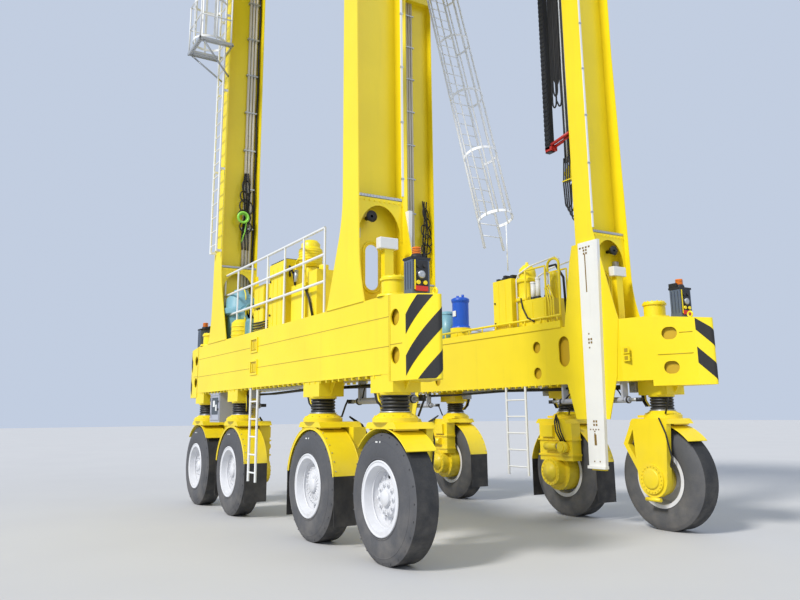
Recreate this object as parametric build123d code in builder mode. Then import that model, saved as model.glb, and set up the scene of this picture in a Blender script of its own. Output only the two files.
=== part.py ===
from build123d import *
import os
from math import asin, cos, degrees, pi, radians, sin

os.makedirs("parts", exist_ok=True)

# Straddle carrier: a tall open frame on eight steered wheels that drives over containers.
# Millimetres. +X is the near end, +Z is up, and the left side is at -Y.
left, right = -1, 1
near, far = 1, -1
side_names = {left: "left", right: "right"}
end_names = {near: "near", far: "far"}

# The frame's centre plane stands off the origin, because the ladder cage reaches out on the left
centre_y = 359

# Wheels
beam_half_length = 4977
outer_axle_x = beam_half_length - 1077
inner_axle_x = outer_axle_x - 2120
track_y = 2472
tyre_r = 770
tyre_w = 430
sidewall_bulge = 35
tread_half = 150
shoulder_r = tyre_r - 45
rim_r = 410
rim_lip_r = 442
rim_half = 205
rim_plate = 25
disc_r = 330
disc_offset = 30
hub_face_r = 200
hub_face_offset = 100
hub_depth = 130
axle_r = 90
running_gap = 0.3
wheel_top = 2 * tyre_r

# Forks
kingpin_y = track_y - 32
kingpin_r = 90
kingpin_reach = 60
bellows_r = 170
bellows_fold = 24
bellows_folds = 4
bellows_clearance = 10
bellows_h = 240
seat_l = 565
seat_w = 400
flange_r = 290
flange_neck_r = 190
flange_t = 120
flange_lip = 50
bridge_half = 330
bridge_shoulder = 60
bridge_bottom = wheel_top + 50
bridge_t = 80
bridge_top = bridge_bottom + bridge_t
flange_top = bridge_top + flange_t
bellows_top = flange_top + bellows_h
bridge_outer_y = track_y + 188
tyre_clearance = 57
arm_t = 100
arm_inner_y = track_y - tyre_w / 2 - tyre_clearance - arm_t
arm_top_half = 340
arm_hub_half = 275
hub_disc_r = 220
hub_disc_t = 30
brace_w = 80
brace_knee_x = 490
brace_knee_z = tyre_r + 510
brace_foot_x = 140
brace_foot_z = tyre_r - 40
drive_t = 205
drive_inner_y = track_y - tyre_w / 2 - tyre_clearance - drive_t
drive_back = 300
drive_front = 520
drive_bottom = tyre_r + 190
drive_r = 230
drive_disc_t = 60
drum_hub_r = 320
drum_hub_inner_y = drive_inner_y + 100
drum_hub_outer_y = track_y - 110

# Fenders and mudflaps
fender_gap = 55
fender_t = 12
fender_inner_y = track_y - 237
fender_outer_y = track_y + 178
fender_outer_angle = 47
fender_inner_angle = 78
fender_crown_angle = 90
flap_bottom = tyre_r - 480

# Side beams: straight sides, and end boxes that narrow towards a nose at the outer corner
beam_inner_y = kingpin_y - 554
beam_outer_y = kingpin_y + 204
beam_bottom = bellows_top + 220
beam_h = 987
beam_top = beam_bottom + beam_h
beam_plate = 20
beam_end_r = 640
nose_angle = 42.5
nose_r = 40
nose_back_x = beam_half_length - 222
nose_back_y = beam_inner_y + 402
taper_x = beam_half_length - 1337
end_box_x = beam_half_length - 877
end_box_drop = 97
end_box_bottom = beam_bottom - 90
access_hole_r = 105
outer_hole_x = beam_half_length - 727
end_hole_x = beam_half_length - 592
end_hole_w = 240
end_hole_h = 190
end_upper_hole_z = beam_top - 287
end_lower_hole_z = beam_bottom + 180
bay_hole_x = inner_axle_x - 150
upper_hole_z = beam_top - 302
lower_hole_z = beam_bottom + 220
slot_x = inner_axle_x + 570
slot_bottom = beam_bottom + 298
slot_top = beam_top - 161
slot_w = 287

# Legs: two flange plates and a web
leg_back_x = outer_axle_x - 1110
leg_w = 414
leg_front_x = leg_back_x + leg_w
leg_plate = 16
web_x = leg_back_x + 210
leg_h = 9183
leg_top = beam_top + leg_h
leg_arch = leg_top - 220
flare_top = beam_top + 1663
flare_knee_x = leg_back_x - 150
flare_knee_z = beam_top + 913
flare_foot_back = leg_back_x - 500
flare_foot_front = leg_front_x + 246
front_bend_x = leg_front_x + 86
front_bend_z = beam_top + 863
front_taper_z = leg_top - 4220
web_hole_y = kingpin_y - 155
web_hole_w = 210
web_hole_bottom = beam_top + 243
web_hole_top = beam_top + 893

# Inner leg plate, which runs on down over the beam
inner_plate_top = beam_top + 1383
inner_plate_back = leg_back_x - 100
inner_plate_bend_x = leg_back_x - 176
inner_plate_bend_z = beam_top + 1121
inner_plate_low_x = leg_back_x - 394
inner_plate_low_z = beam_top - 43
inner_plate_foot_x = leg_back_x - 411
inner_plate_foot_z = beam_bottom + 72
inner_plate_front_top = beam_top + 1551
inner_plate_knee_x = leg_front_x + 389
inner_plate_knee_z = beam_top + 148
inner_plate_front_x = leg_front_x + 332
bracket_bottom = beam_bottom - 590
bracket_back = leg_back_x - 211
bracket_front = leg_front_x + 124

# White guide strips on the legs
strip_t = 60
strip_top = beam_top + 1373
strip_bottom = beam_bottom - 1370
strip_top_back = leg_back_x + 110
strip_top_front = leg_front_x + 146
strip_low_back = leg_back_x + 80
strip_low_front = leg_front_x + 26

# Top frame
cross_h = 930
cross_top = leg_top + cross_h
top_beam_inner_y = beam_inner_y - 236
top_beam_outer_y = beam_inner_y + 64
deck_t = 50
deck_right_y = beam_outer_y - 144
deck_gap_x = leg_back_x - 490
deck_gap_w = 800
deck_gap_y = top_beam_inner_y - 350
front_box_inner_y = top_beam_inner_y - 950
front_box_outer_y = top_beam_inner_y + 100
front_box_bottom = leg_top + 280
front_box_top = leg_top + 680
front_box_t = 120

# Machinery house on the left of the top frame
house_back = -leg_back_x + 790
house_front = leg_back_x - 390
house_outer_y = beam_outer_y + 106
house_bottom = leg_top - 120
house_top = cross_top + 250
house_edge = 60
cooler_back = house_front + 10
cooler_l = 640
cooler_front = cooler_back + cooler_l
cooler_inner_y = top_beam_outer_y + 50
cooler_outer_y = house_outer_y + 100
cooler_h = 370

# Hoist gear on the deck
hoist_x = leg_back_x - 1290
drum_r = 300
drum_l = 700
drum_inner_y = 400
drum_outer_y = drum_inner_y + drum_l
drum_rise = 1300
drum_z = cross_top + deck_t + drum_rise
motor_r = 190
motor_l = 380
motor_outer_y = drum_outer_y + motor_l
stand_t = 60
stand_half = 260
side_drum_r = 210
side_drum_l = 550
side_drum_inner_y = drum_outer_y + 500
side_drum_outer_y = side_drum_inner_y + side_drum_l

# Tubes of the railings and ladders
tube_r = 22
post_r = 18
rail_h = 1100
rung_r = 14
rung_pitch = 300
ladder_w = 400

# Railing along the left side beam
walk_rail_y = beam_outer_y - 144
walk_rail_back = -leg_back_x - 110
walk_rail_front = leg_back_x - 890
walk_rail_top = beam_top + 1363
walk_rail_posts = 7
walk_rail_step = 420

# Railing round the top deck
deck_rail_inset = 60
deck_rail_pitch = 1100
deck_rail_gap = 40

# Ladder up the left far leg
ladder_x = -leg_back_x - 207
ladder_y = beam_outer_y + 116
ladder_bottom = beam_top + 1863
ladder_ties = 5
cage_bottom = leg_top - 2670
cage_r = 350
hoop_w = 50
hoop_t = 8
hoop_pitch = 900
cage_straps = 5

# Inclined caged ladder from the top deck to the right side beam
stair_foot_y = beam_outer_y - 274
stair_foot_z = beam_top + 1863
stair_head_y = 620
stair_cage_bottom = 1200

# Short ladders under the side beams
step_bottom = tyre_r - 110
step_left_x = -inner_axle_x + 1105
step_left_w = 350
step_right_x = inner_axle_x - 820
step_right_w = 560

# Gear on and under the side beams
cap_r = 170
cap_h = 215
cap_rim_r = 190
cap_rim_t = 30
scanner_x = beam_half_length - 547
scanner_y = kingpin_y - 10
scanner_l = 320
scanner_w = 130
scanner_top = beam_top + 413
beacon_r = 55
beacon_h = 150
cabinet_back = -leg_back_x - 460
cabinet_front = -leg_back_x + 140
cabinet_inner_y = beam_inner_y + 194
cabinet_outer_y = beam_outer_y - 44
cabinet_bottom = beam_bottom - 600
cylinder_back = inner_axle_x + 270
cylinder_front = outer_axle_x - 250
cylinder_y = beam_inner_y + 114
cylinder_z = beam_bottom - 290
cylinder_r = 45
cylinder_lug_t = 40
cylinder_lug_w = 120
power_back = leg_back_x - 2140
power_front = power_back + 850
power_inner_y = beam_inner_y + 44
power_outer_y = beam_outer_y - 84
power_h = 1100
power_low_front = power_back + 1600
power_low_h = 560
dome_r = 230
dome_h = 210
tank_x = -leg_back_x + 1490
tank_y = beam_inner_y + 414
tank_r = 180
tank_foot_r = 230
tank_foot_h = 360
tank_h = 600
drive_unit_x = -leg_back_x + 2640
drive_unit_y = beam_inner_y + 344
drive_unit_r = 240
drive_unit_h = 1000
cooler_unit_x = -leg_back_x + 840
cooler_unit_l = 900
cooler_unit_w = 420
cooler_unit_h = 640
switch_unit_x = -leg_back_x + 1740
switch_unit_l = 500
switch_unit_h = 900

# Dark bearers under the top deck
bearer_count = 6
bearer_pitch = 760
bearer_w = 160
bearer_bottom = leg_top + 280
bearer_h = 220

on_base = (Align.CENTER, Align.CENTER, Align.MIN)
axles = {1: outer_axle_x, 2: inner_axle_x, 3: -inner_axle_x, 4: -outer_axle_x}


def level(z, x=0, y=0):
    """Horizontal plane at a height, measured from the frame's centre plane."""
    return Plane(origin=(x, centre_y + y, z), x_dir=(1, 0, 0), z_dir=(0, 0, 1))


def upright(y, x=0):
    """Lengthwise vertical plane, facing the left side."""
    return Plane(origin=(x, centre_y + y, 0), x_dir=(1, 0, 0), z_dir=(0, -1, 0))


def section(x, y=0):
    """Crosswise vertical plane, facing the near end."""
    return Plane(origin=(x, centre_y + y, 0), x_dir=(0, 1, 0), z_dir=(1, 0, 0))


def wheel_plane(side, x):
    """Half-section plane of a wheel: local X points outward along the axle, local Y up."""
    return Plane(
        origin=(x, centre_y + side * track_y, tyre_r), x_dir=(0, side, 0), z_dir=(side, 0, 0)
    )


def save(piece, label):
    piece.label = label
    export_step(piece, f"parts/{label}.step")


# Wheels
def tyre(side, x):
    plane = wheel_plane(side, x)
    bead = tyre_w / 2 - sidewall_bulge
    bulge_r = (rim_r + shoulder_r) / 2
    with BuildPart() as rubber:
        with BuildSketch(plane):
            with BuildLine():
                Line((-bead, rim_r), (bead, rim_r))
                ThreePointArc((bead, rim_r), (tyre_w / 2, bulge_r), (bead, shoulder_r))
                Line((bead, shoulder_r), (tread_half, tyre_r))
                Line((tread_half, tyre_r), (-tread_half, tyre_r))
                Line((-tread_half, tyre_r), (-bead, shoulder_r))
                ThreePointArc((-bead, shoulder_r), (-tyre_w / 2, bulge_r), (-bead, rim_r))
            make_face()
        revolve(axis=Axis(plane.origin, plane.x_dir))
    return rubber.part


def rim(side, x):
    plane = wheel_plane(side, x)
    bead = tyre_w / 2 - sidewall_bulge
    inside_r = rim_r - rim_plate
    bore_r = axle_r + running_gap
    bore_end = hub_face_offset - rim_plate
    with BuildPart() as wheel:
        with BuildSketch(plane):
            with BuildLine():
                Polyline(
                    (-rim_half, rim_lip_r),
                    (-bead, rim_r),
                    (bead, rim_r),
                    (rim_half, rim_lip_r),
                    (rim_half, inside_r),
                    (disc_offset, disc_r),
                    (disc_offset, hub_face_r + rim_plate),
                    (hub_face_offset, hub_face_r),
                    (hub_face_offset, 0),
                    (bore_end, 0),
                    (bore_end, bore_r),
                    (hub_face_offset - hub_depth, bore_r),
                    (hub_face_offset - hub_depth, hub_face_r - rim_plate),
                    (disc_offset - rim_plate, hub_face_r),
                    (disc_offset - rim_plate, disc_r + rim_plate),
                    (-rim_half, inside_r),
                    close=True,
                )
            make_face()
        revolve(axis=Axis(plane.origin, plane.x_dir))
    return wheel.part


# Forks
def ring_sector(radius, thickness, start, sweep):
    """Piece of a ring round the wheel's centre, in a lengthwise plane."""
    with BuildSketch() as sector:
        with BuildLine():
            inner = CenterArc((0, tyre_r), radius, start, sweep)
            outer = CenterArc((0, tyre_r), radius + thickness, start, sweep)
            Line(inner @ 0, outer @ 0)
            Line(inner @ 1, outer @ 1)
        make_face()
    return sector.sketch


def fork(side, number):
    x = axles[number]
    end = 1 if x > 0 else -1
    outer_wheel = number in (1, 4)
    sweep = fender_outer_angle if outer_wheel else fender_inner_angle
    arm_y = arm_inner_y if outer_wheel else drive_inner_y
    arm_depth = arm_t if outer_wheel else drive_t
    with BuildPart() as body:
        # Kingpin and its flange
        with BuildSketch(level(bridge_top, x, side * kingpin_y)):
            Circle(flange_r)
        extrude(amount=flange_lip)
        with Locations(level(bridge_top + flange_lip, x, side * kingpin_y)):
            Cone(flange_r, flange_neck_r, flange_t - flange_lip, align=on_base)
        with BuildSketch(level(flange_top, x, side * kingpin_y)):
            Circle(kingpin_r)
        extrude(amount=beam_bottom + beam_plate + kingpin_reach - flange_top)
        # Bridge over the tyre
        with BuildSketch(upright(side * arm_y, x)) as saddle:
            with BuildLine():
                Polyline(
                    (-bridge_half - bridge_shoulder, bridge_bottom),
                    (bridge_half + bridge_shoulder, bridge_bottom),
                    (bridge_half, bridge_top),
                    (-bridge_half, bridge_top),
                    close=True,
                )
            make_face()
            fillet(saddle.vertices().group_by(Axis.Y)[-1], bridge_shoulder)
        extrude(amount=-side * (bridge_outer_y - arm_y))
        # Fender, bent round the tyre
        with BuildSketch(upright(side * fender_inner_y, x)):
            add(ring_sector(tyre_r + fender_gap, fender_t, fender_crown_angle - sweep, 2 * sweep))
        extrude(amount=-side * (fender_outer_y - fender_inner_y))
        # Axle
        axle_end = track_y + hub_face_offset - rim_plate - kingpin_reach
        with BuildSketch(upright(side * arm_y, x)):
            with Locations((0, tyre_r)):
                Circle(axle_r)
        extrude(amount=-side * (axle_end - arm_y))
        if outer_wheel:
            # Tapered arm with its hub disc
            with BuildSketch(upright(side * arm_y, x)):
                with BuildLine():
                    Polyline(
                        (-arm_top_half, bridge_bottom),
                        (-arm_hub_half, tyre_r),
                        (arm_hub_half, tyre_r),
                        (arm_top_half, bridge_bottom),
                        close=True,
                    )
                make_face()
                with Locations((0, tyre_r)):
                    Circle(arm_hub_half)
            extrude(amount=-side * arm_depth)
            with BuildSketch(upright(side * arm_y, x)):
                with Locations((0, tyre_r)):
                    Circle(hub_disc_r)
            extrude(amount=side * hub_disc_t)
            # Bent brace on the inboard side of the arm
            with BuildSketch(upright(side * arm_y, x)):
                with BuildLine() as bend:
                    Polyline(
                        (-end * bridge_half, bridge_bottom),
                        (-end * brace_knee_x, brace_knee_z),
                        (-end * brace_foot_x, brace_foot_z),
                    )
                trace(bend.edges(), line_width=brace_w)
            extrude(amount=-side * arm_depth)
        else:
            # Drive housing and final drive
            with BuildSketch(upright(side * arm_y, x)):
                mid_z = (drive_bottom + bridge_bottom) / 2
                with Locations((end * (drive_front - drive_back) / 2, mid_z)):
                    Rectangle(drive_front + drive_back, bridge_bottom - drive_bottom)
            extrude(amount=-side * arm_depth)
            with BuildSketch(upright(side * (arm_y - drive_disc_t), x)):
                with Locations((0, tyre_r)):
                    Circle(drive_r)
            extrude(amount=-side * (arm_depth + drive_disc_t))
            with BuildSketch(upright(side * drum_hub_inner_y, x)):
                with Locations((0, tyre_r)):
                    Circle(drum_hub_r)
            extrude(amount=-side * (drum_hub_outer_y - drum_hub_inner_y))
    return body.part


def mudflaps(side, number):
    x = axles[number]
    inner_r = tyre_r + fender_gap
    outer_r = inner_r + fender_t
    turn = radians(fender_inner_angle)
    with BuildPart() as flaps:
        for way in (near, far):
            with BuildSketch(upright(side * fender_inner_y, x)):
                with BuildLine():
                    Polyline(
                        (way * inner_r * sin(turn), tyre_r + inner_r * cos(turn)),
                        (way * outer_r * sin(turn), tyre_r + outer_r * cos(turn)),
                        (way * outer_r * sin(turn), flap_bottom),
                        (way * inner_r * sin(turn), flap_bottom),
                        close=True,
                    )
                make_face()
            extrude(amount=-side * (fender_outer_y - fender_inner_y))
    return flaps.part


# Side beams
def beam_plan(side, inset):
    """Plan of a side beam whose ends narrow to a rounded nose, shrunk all round by the inset."""
    turn = radians(nose_angle)
    arc_x = beam_half_length - beam_end_r * cos(turn)
    arc_y = beam_outer_y - beam_end_r
    nose_y = arc_y + beam_end_r * sin(turn)
    half_turn = (turn + pi / 2) / 2
    arc_mid = (arc_x + beam_end_r * cos(half_turn), arc_y + beam_end_r * sin(half_turn))
    with BuildSketch() as plan:
        with BuildLine():
            for end in (near, far):
                Polyline(
                    (0, side * beam_inner_y),
                    (end * taper_x, side * beam_inner_y),
                    (end * nose_back_x, side * nose_back_y),
                    (end * beam_half_length, side * nose_y),
                )
                ThreePointArc(
                    (end * beam_half_length, side * nose_y),
                    (end * arc_mid[0], side * arc_mid[1]),
                    (end * arc_x, side * beam_outer_y),
                )
                Line((end * arc_x, side * beam_outer_y), (0, side * beam_outer_y))
        make_face()
        fillet(plan.vertices().group_by(Axis.X)[-1] + plan.vertices().group_by(Axis.X)[0], nose_r)
        offset(amount=-inset, mode=Mode.REPLACE)
    return plan.sketch


def end_top(x):
    """Height of an end box's sloping top."""
    return beam_top - end_box_drop * (x - end_box_x) / (beam_half_length - end_box_x)


def beam_body(side, inset):
    """Closed body of a side beam with its sloping end tops, shrunk all round by the inset."""
    with BuildPart() as body:
        with BuildSketch(level(beam_bottom + inset)):
            add(beam_plan(side, inset))
        extrude(amount=beam_top - beam_bottom - 2 * inset)
        with BuildSketch(upright(0)):
            for end in (near, far):
                with BuildLine():
                    Polyline(
                        (end * end_box_x, beam_top - inset),
                        (end * beam_half_length, beam_top - inset),
                        (end * beam_half_length, end_top(beam_half_length) - inset),
                        close=True,
                    )
                make_face()
        extrude(amount=-2 * side * beam_outer_y, mode=Mode.SUBTRACT)
    return body.part


def bay_end_face(side, end):
    """Slanted bay face of an end box, with local X upward."""
    share = (end_hole_x - taper_x) / (nose_back_x - taper_x)
    face_y = beam_inner_y + share * (nose_back_y - beam_inner_y)
    return Plane(
        origin=(end * end_hole_x, centre_y + side * face_y, 0),
        x_dir=(0, 0, 1),
        z_dir=(end * (nose_back_y - beam_inner_y), side * (taper_x - nose_back_x), 0),
    )


def side_beam(side):
    hole_heights = (upper_hole_z, lower_hole_z)
    with BuildPart() as beam:
        add(beam_body(side, 0))
        # End boxes reach lower than the span between the axles
        with BuildSketch(level(end_box_bottom)):
            add(beam_plan(side, 0))
            Rectangle(2 * end_box_x, 3 * beam_outer_y, mode=Mode.SUBTRACT)
        extrude(amount=beam_bottom - end_box_bottom)
        add(beam_body(side, beam_plate), mode=Mode.SUBTRACT)
        # Kingpin bearings
        kingpins = [(x, side * kingpin_y) for x in axles.values()]
        with BuildSketch(level(bellows_top)):
            with Locations(*kingpins):
                Rectangle(seat_l, seat_w)
        extrude(amount=beam_bottom - bellows_top)
        with BuildSketch(level(bellows_top)):
            with Locations(*kingpins):
                Circle(kingpin_r + running_gap)
        extrude(amount=beam_bottom + beam_plate - bellows_top, mode=Mode.SUBTRACT)
        # Round caps over the outer kingpins
        caps = [(end * outer_axle_x, side * kingpin_y) for end in (near, far)]
        with BuildSketch(level(beam_top)):
            with Locations(*caps):
                Circle(cap_r)
        extrude(amount=cap_h)
        with BuildSketch(level(beam_top + cap_h)):
            with Locations(*caps):
                Circle(cap_rim_r)
        extrude(amount=cap_rim_t)
        # Access holes on the outer face
        with BuildSketch(upright(side * beam_outer_y)):
            outer_holes = [(end * outer_hole_x, z) for end in (near, far) for z in hole_heights]
            with Locations(*outer_holes):
                Circle(access_hole_r)
        extrude(amount=side * beam_plate, mode=Mode.SUBTRACT)
        # Access holes and slots on the bay face
        with BuildSketch(upright(side * beam_inner_y)):
            with Locations(*[(end * bay_hole_x, z) for end in (near, far) for z in hole_heights]):
                Circle(access_hole_r)
            with Locations(*[(end * slot_x, (slot_bottom + slot_top) / 2) for end in (near, far)]):
                SlotOverall(slot_top - slot_bottom, slot_w, rotation=90)
        extrude(amount=-side * beam_plate, mode=Mode.SUBTRACT)
        for end in (near, far):
            with BuildSketch(bay_end_face(side, end)):
                with Locations((end_upper_hole_z, 0), (end_lower_hole_z, 0)):
                    SlotOverall(end_hole_w, end_hole_h, rotation=90)
            extrude(amount=-beam_plate, mode=Mode.SUBTRACT)
    return beam.part


# Legs
def leg(side, end):
    with BuildPart() as post:
        # Outer plate, flared onto the beam's top
        with BuildSketch(upright(side * beam_outer_y)):
            with BuildLine():
                Line((end * leg_front_x, leg_top), (end * leg_back_x, leg_top))
                Line((end * leg_back_x, leg_top), (end * leg_back_x, flare_top))
                knee = (end * flare_knee_x, flare_knee_z)
                TangentArc((end * leg_back_x, flare_top), knee, tangent=(0, -1))
                Line(knee, (end * flare_foot_back, beam_top))
                Line((end * flare_foot_back, beam_top), (end * flare_foot_front, beam_top))
                bend = (end * front_bend_x, front_bend_z)
                TangentArc(bend, (end * flare_foot_front, beam_top), tangent=(0, -1))
                Line(bend, (end * leg_front_x, front_taper_z))
                Line((end * leg_front_x, front_taper_z), (end * leg_front_x, leg_top))
            make_face()
        extrude(amount=side * leg_plate)
        # Inner plate, which widens and runs down over the beam to the guide strip's bracket
        with BuildSketch(upright(side * beam_inner_y)):
            with BuildLine():
                Polyline(
                    (end * leg_front_x, leg_top),
                    (end * leg_back_x, leg_top),
                    (end * leg_back_x, inner_plate_top),
                    (end * inner_plate_back, inner_plate_top),
                    (end * inner_plate_bend_x, inner_plate_bend_z),
                    (end * inner_plate_low_x, inner_plate_low_z),
                    (end * inner_plate_foot_x, inner_plate_foot_z),
                    (end * bracket_back, bracket_bottom),
                    (end * bracket_front, bracket_bottom),
                    (end * inner_plate_front_x, inner_plate_foot_z),
                    (end * taper_x, beam_top),
                    (end * inner_plate_knee_x, inner_plate_knee_z),
                    (end * leg_front_x, inner_plate_front_top),
                    close=True,
                )
            make_face()
            with Locations((end * slot_x, (slot_bottom + slot_top) / 2)):
                SlotOverall(slot_top - slot_bottom, slot_w, rotation=90, mode=Mode.SUBTRACT)
        extrude(amount=side * leg_plate)
        # Web with its obround opening, standing on the beam
        with BuildSketch(section(end * web_x - leg_plate / 2)):
            web_y = side * (beam_inner_y + beam_outer_y - leg_plate) / 2
            with Locations((web_y, (beam_top + leg_top) / 2)):
                Rectangle(beam_outer_y - leg_plate - beam_inner_y, leg_top - beam_top)
            with Locations((side * web_hole_y, (web_hole_bottom + web_hole_top) / 2)):
                SlotOverall(web_hole_top - web_hole_bottom, web_hole_w, rotation=90, mode=Mode.SUBTRACT)
        extrude(amount=leg_plate)
        # Boxed head under the cross beam
        with BuildSketch(level(leg_arch)):
            mid_y = side * (beam_inner_y + beam_outer_y) / 2
            with Locations((end * (leg_back_x + leg_front_x) / 2, mid_y)):
                Rectangle(leg_front_x - leg_back_x, beam_outer_y - beam_inner_y)
        extrude(amount=leg_top - leg_arch)
    return post.part


def guide_strips():
    with BuildPart() as strips:
        for side in (left, right):
            for end in (near, far):
                with BuildSketch(upright(side * (beam_inner_y - leg_plate))):
                    with BuildLine():
                        Polyline(
                            (end * strip_top_back, strip_top),
                            (end * strip_top_front, strip_top),
                            (end * strip_low_front, strip_bottom),
                            (end * strip_low_back, strip_bottom),
                            close=True,
                        )
                    make_face()
                extrude(amount=side * strip_t)
    return strips.part


# Top frame
def cross_beams():
    """Box beams over the near and far legs, with a box standing proud of each outer face."""
    with BuildPart() as beams:
        for end in (near, far):
            middle = (end * (leg_back_x + leg_front_x) / 2, 0)
            with BuildSketch(level(leg_top)):
                with Locations(middle):
                    Rectangle(leg_front_x - leg_back_x, 2 * beam_outer_y)
            extrude(amount=cross_top - leg_top)
            with BuildSketch(level(leg_top + beam_plate)):
                with Locations(middle):
                    Rectangle(leg_front_x - leg_back_x - 2 * beam_plate, 2 * (beam_outer_y - beam_plate))
            extrude(amount=cross_top - leg_top - 2 * beam_plate, mode=Mode.SUBTRACT)
            with BuildSketch(section(end * leg_front_x)):
                mid_y = -(front_box_inner_y + front_box_outer_y) / 2
                with Locations((mid_y, (front_box_bottom + front_box_top) / 2)):
                    Rectangle(front_box_outer_y - front_box_inner_y, front_box_top - front_box_bottom)
            extrude(amount=end * front_box_t)
    return beams.part


def top_beams():
    """Lengthwise box beams between the cross beams."""
    with BuildPart() as beams:
        for side in (left, right):
            middle = (0, side * (top_beam_inner_y + top_beam_outer_y) / 2)
            width = top_beam_outer_y - top_beam_inner_y
            with BuildSketch(level(leg_top)):
                with Locations(middle):
                    Rectangle(2 * leg_back_x, width)
            extrude(amount=cross_top - leg_top)
            with BuildSketch(level(leg_top + beam_plate)):
                with Locations(middle):
                    Rectangle(2 * leg_back_x, width - 2 * beam_plate)
            extrude(amount=cross_top - leg_top - 2 * beam_plate, mode=Mode.SUBTRACT)
    return beams.part


def top_deck():
    with BuildPart() as deck:
        with BuildSketch(level(cross_top)):
            with Locations((0, (deck_right_y - top_beam_outer_y) / 2)):
                Rectangle(2 * leg_front_x, deck_right_y + top_beam_outer_y)
            with Locations((deck_gap_x, 0), (-deck_gap_x, 0)):
                Rectangle(deck_gap_w, 2 * deck_gap_y, mode=Mode.SUBTRACT)
        extrude(amount=deck_t)
    return deck.part


def machinery_house():
    """Long grey house outside the left top beam, with the cooler box at its near end."""
    with BuildPart() as house:
        with BuildSketch(level(house_bottom)):
            mid_y = -(top_beam_outer_y + house_outer_y) / 2
            with Locations(((house_back + house_front) / 2, mid_y)):
                Rectangle(house_front - house_back, house_outer_y - top_beam_outer_y)
        extrude(amount=house_top - house_bottom)
        fillet(house.edges().filter_by(Axis.Z).group_by(Axis.Y)[0], house_edge)
        with BuildSketch(level(cross_top)):
            mid_y = -(cooler_inner_y + cooler_outer_y) / 2
            with Locations(((cooler_back + cooler_front) / 2, mid_y)):
                Rectangle(cooler_front - cooler_back, cooler_outer_y - cooler_inner_y)
        extrude(amount=cooler_h)
    return house.part


def hoist_stands():
    """Pedestals that carry the hoist's drums by their ends."""
    with BuildPart() as stands:
        for y in (drum_inner_y, drum_outer_y, -side_drum_inner_y, -side_drum_outer_y):
            with BuildSketch(section(hoist_x - stand_half)):
                with Locations((-y, (cross_top + deck_t + drum_z) / 2)):
                    Rectangle(stand_t, drum_z - cross_top - deck_t)
            extrude(amount=2 * stand_half)
    return stands.part


# Springs, caps and boxes along the side beams
def bellows():
    """Ribbed rubber sleeves round the kingpins, from the forks' flanges to the beams' seats."""
    bottom = flange_top + running_gap
    fold_h = (bellows_top - bottom) / bellows_folds
    profile = [(kingpin_r + bellows_clearance, bottom)]
    for fold in range(bellows_folds):
        profile.append((bellows_r - bellows_fold, bottom + fold * fold_h))
        profile.append((bellows_r, bottom + (fold + 0.5) * fold_h))
    profile.append((bellows_r - bellows_fold, bellows_top))
    profile.append((kingpin_r + bellows_clearance, bellows_top))
    with BuildPart() as sleeves:
        for side in (left, right):
            for x in axles.values():
                plane = upright(side * kingpin_y, x)
                with BuildSketch(plane):
                    with BuildLine():
                        Polyline(*profile, close=True)
                    make_face()
                revolve(axis=Axis(plane.origin, (0, 0, 1)))
    return sleeves.part


def scanners():
    """Flat boxes that stand on the sloping tops of the end boxes."""
    back = scanner_x - scanner_l / 2
    front = scanner_x + scanner_l / 2
    with BuildPart() as boxes:
        for side in (left, right):
            for end in (near, far):
                with BuildSketch(upright(side * scanner_y)):
                    with BuildLine():
                        Polyline(
                            (end * back, end_top(back)),
                            (end * front, end_top(front)),
                            (end * front, scanner_top),
                            (end * back, scanner_top),
                            close=True,
                        )
                    make_face()
                extrude(amount=scanner_w / 2, both=True)
    return boxes.part


def beacons():
    spots = [(end * scanner_x, side * scanner_y) for side in (left, right) for end in (near, far)]
    with BuildPart() as lamps:
        with BuildSketch(level(scanner_top)):
            with Locations(*spots):
                Circle(beacon_r)
        extrude(amount=beacon_h)
    return lamps.part


def steering_cylinders():
    with BuildPart() as cylinders:
        for side in (left, right):
            for end in (near, far):
                with BuildSketch(section(end * cylinder_back)):
                    with Locations((side * cylinder_y, cylinder_z)):
                        Circle(cylinder_r)
                extrude(amount=end * (cylinder_front - cylinder_back))
                for x in (cylinder_back + cylinder_lug_w, cylinder_front - cylinder_lug_w):
                    with BuildSketch(section(end * x)):
                        with Locations((side * cylinder_y, (cylinder_z + beam_bottom) / 2)):
                            Rectangle(cylinder_lug_w, beam_bottom - cylinder_z)
                    extrude(amount=end * cylinder_lug_t)
    return cylinders.part


def under_cabinet():
    with BuildPart() as cabinet:
        with BuildSketch(level(cabinet_bottom)):
            mid_y = -(cabinet_inner_y + cabinet_outer_y) / 2
            with Locations(((cabinet_back + cabinet_front) / 2, mid_y)):
                Rectangle(cabinet_front - cabinet_back, cabinet_outer_y - cabinet_inner_y)
        extrude(amount=beam_bottom - cabinet_bottom)
    return cabinet.part


def power_unit():
    """Stepped housing on the right side beam with a domed filter."""
    with BuildPart() as unit:
        with BuildSketch(upright(power_inner_y)):
            with BuildLine():
                Polyline(
                    (power_back, beam_top),
                    (power_low_front, beam_top),
                    (power_low_front, beam_top + power_low_h),
                    (power_front, beam_top + power_low_h),
                    (power_front, beam_top + power_h),
                    (power_back, beam_top + power_h),
                    close=True,
                )
            make_face()
        extrude(amount=power_inner_y - power_outer_y)
        top = level(beam_top + power_h, (power_back + power_front) / 2, (power_inner_y + power_outer_y) / 2)
        with BuildSketch(top):
            Circle(dome_r)
        extrude(amount=dome_h)
        fillet(unit.edges().filter_by(GeomType.CIRCLE).sort_by(Axis.Z)[-1], dome_r / 2)
    return unit.part


def air_tank():
    with BuildPart() as tank:
        with BuildSketch(level(beam_top + tank_foot_h, tank_x, tank_y)):
            Circle(tank_r)
        extrude(amount=tank_h)
    return tank.part


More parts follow.
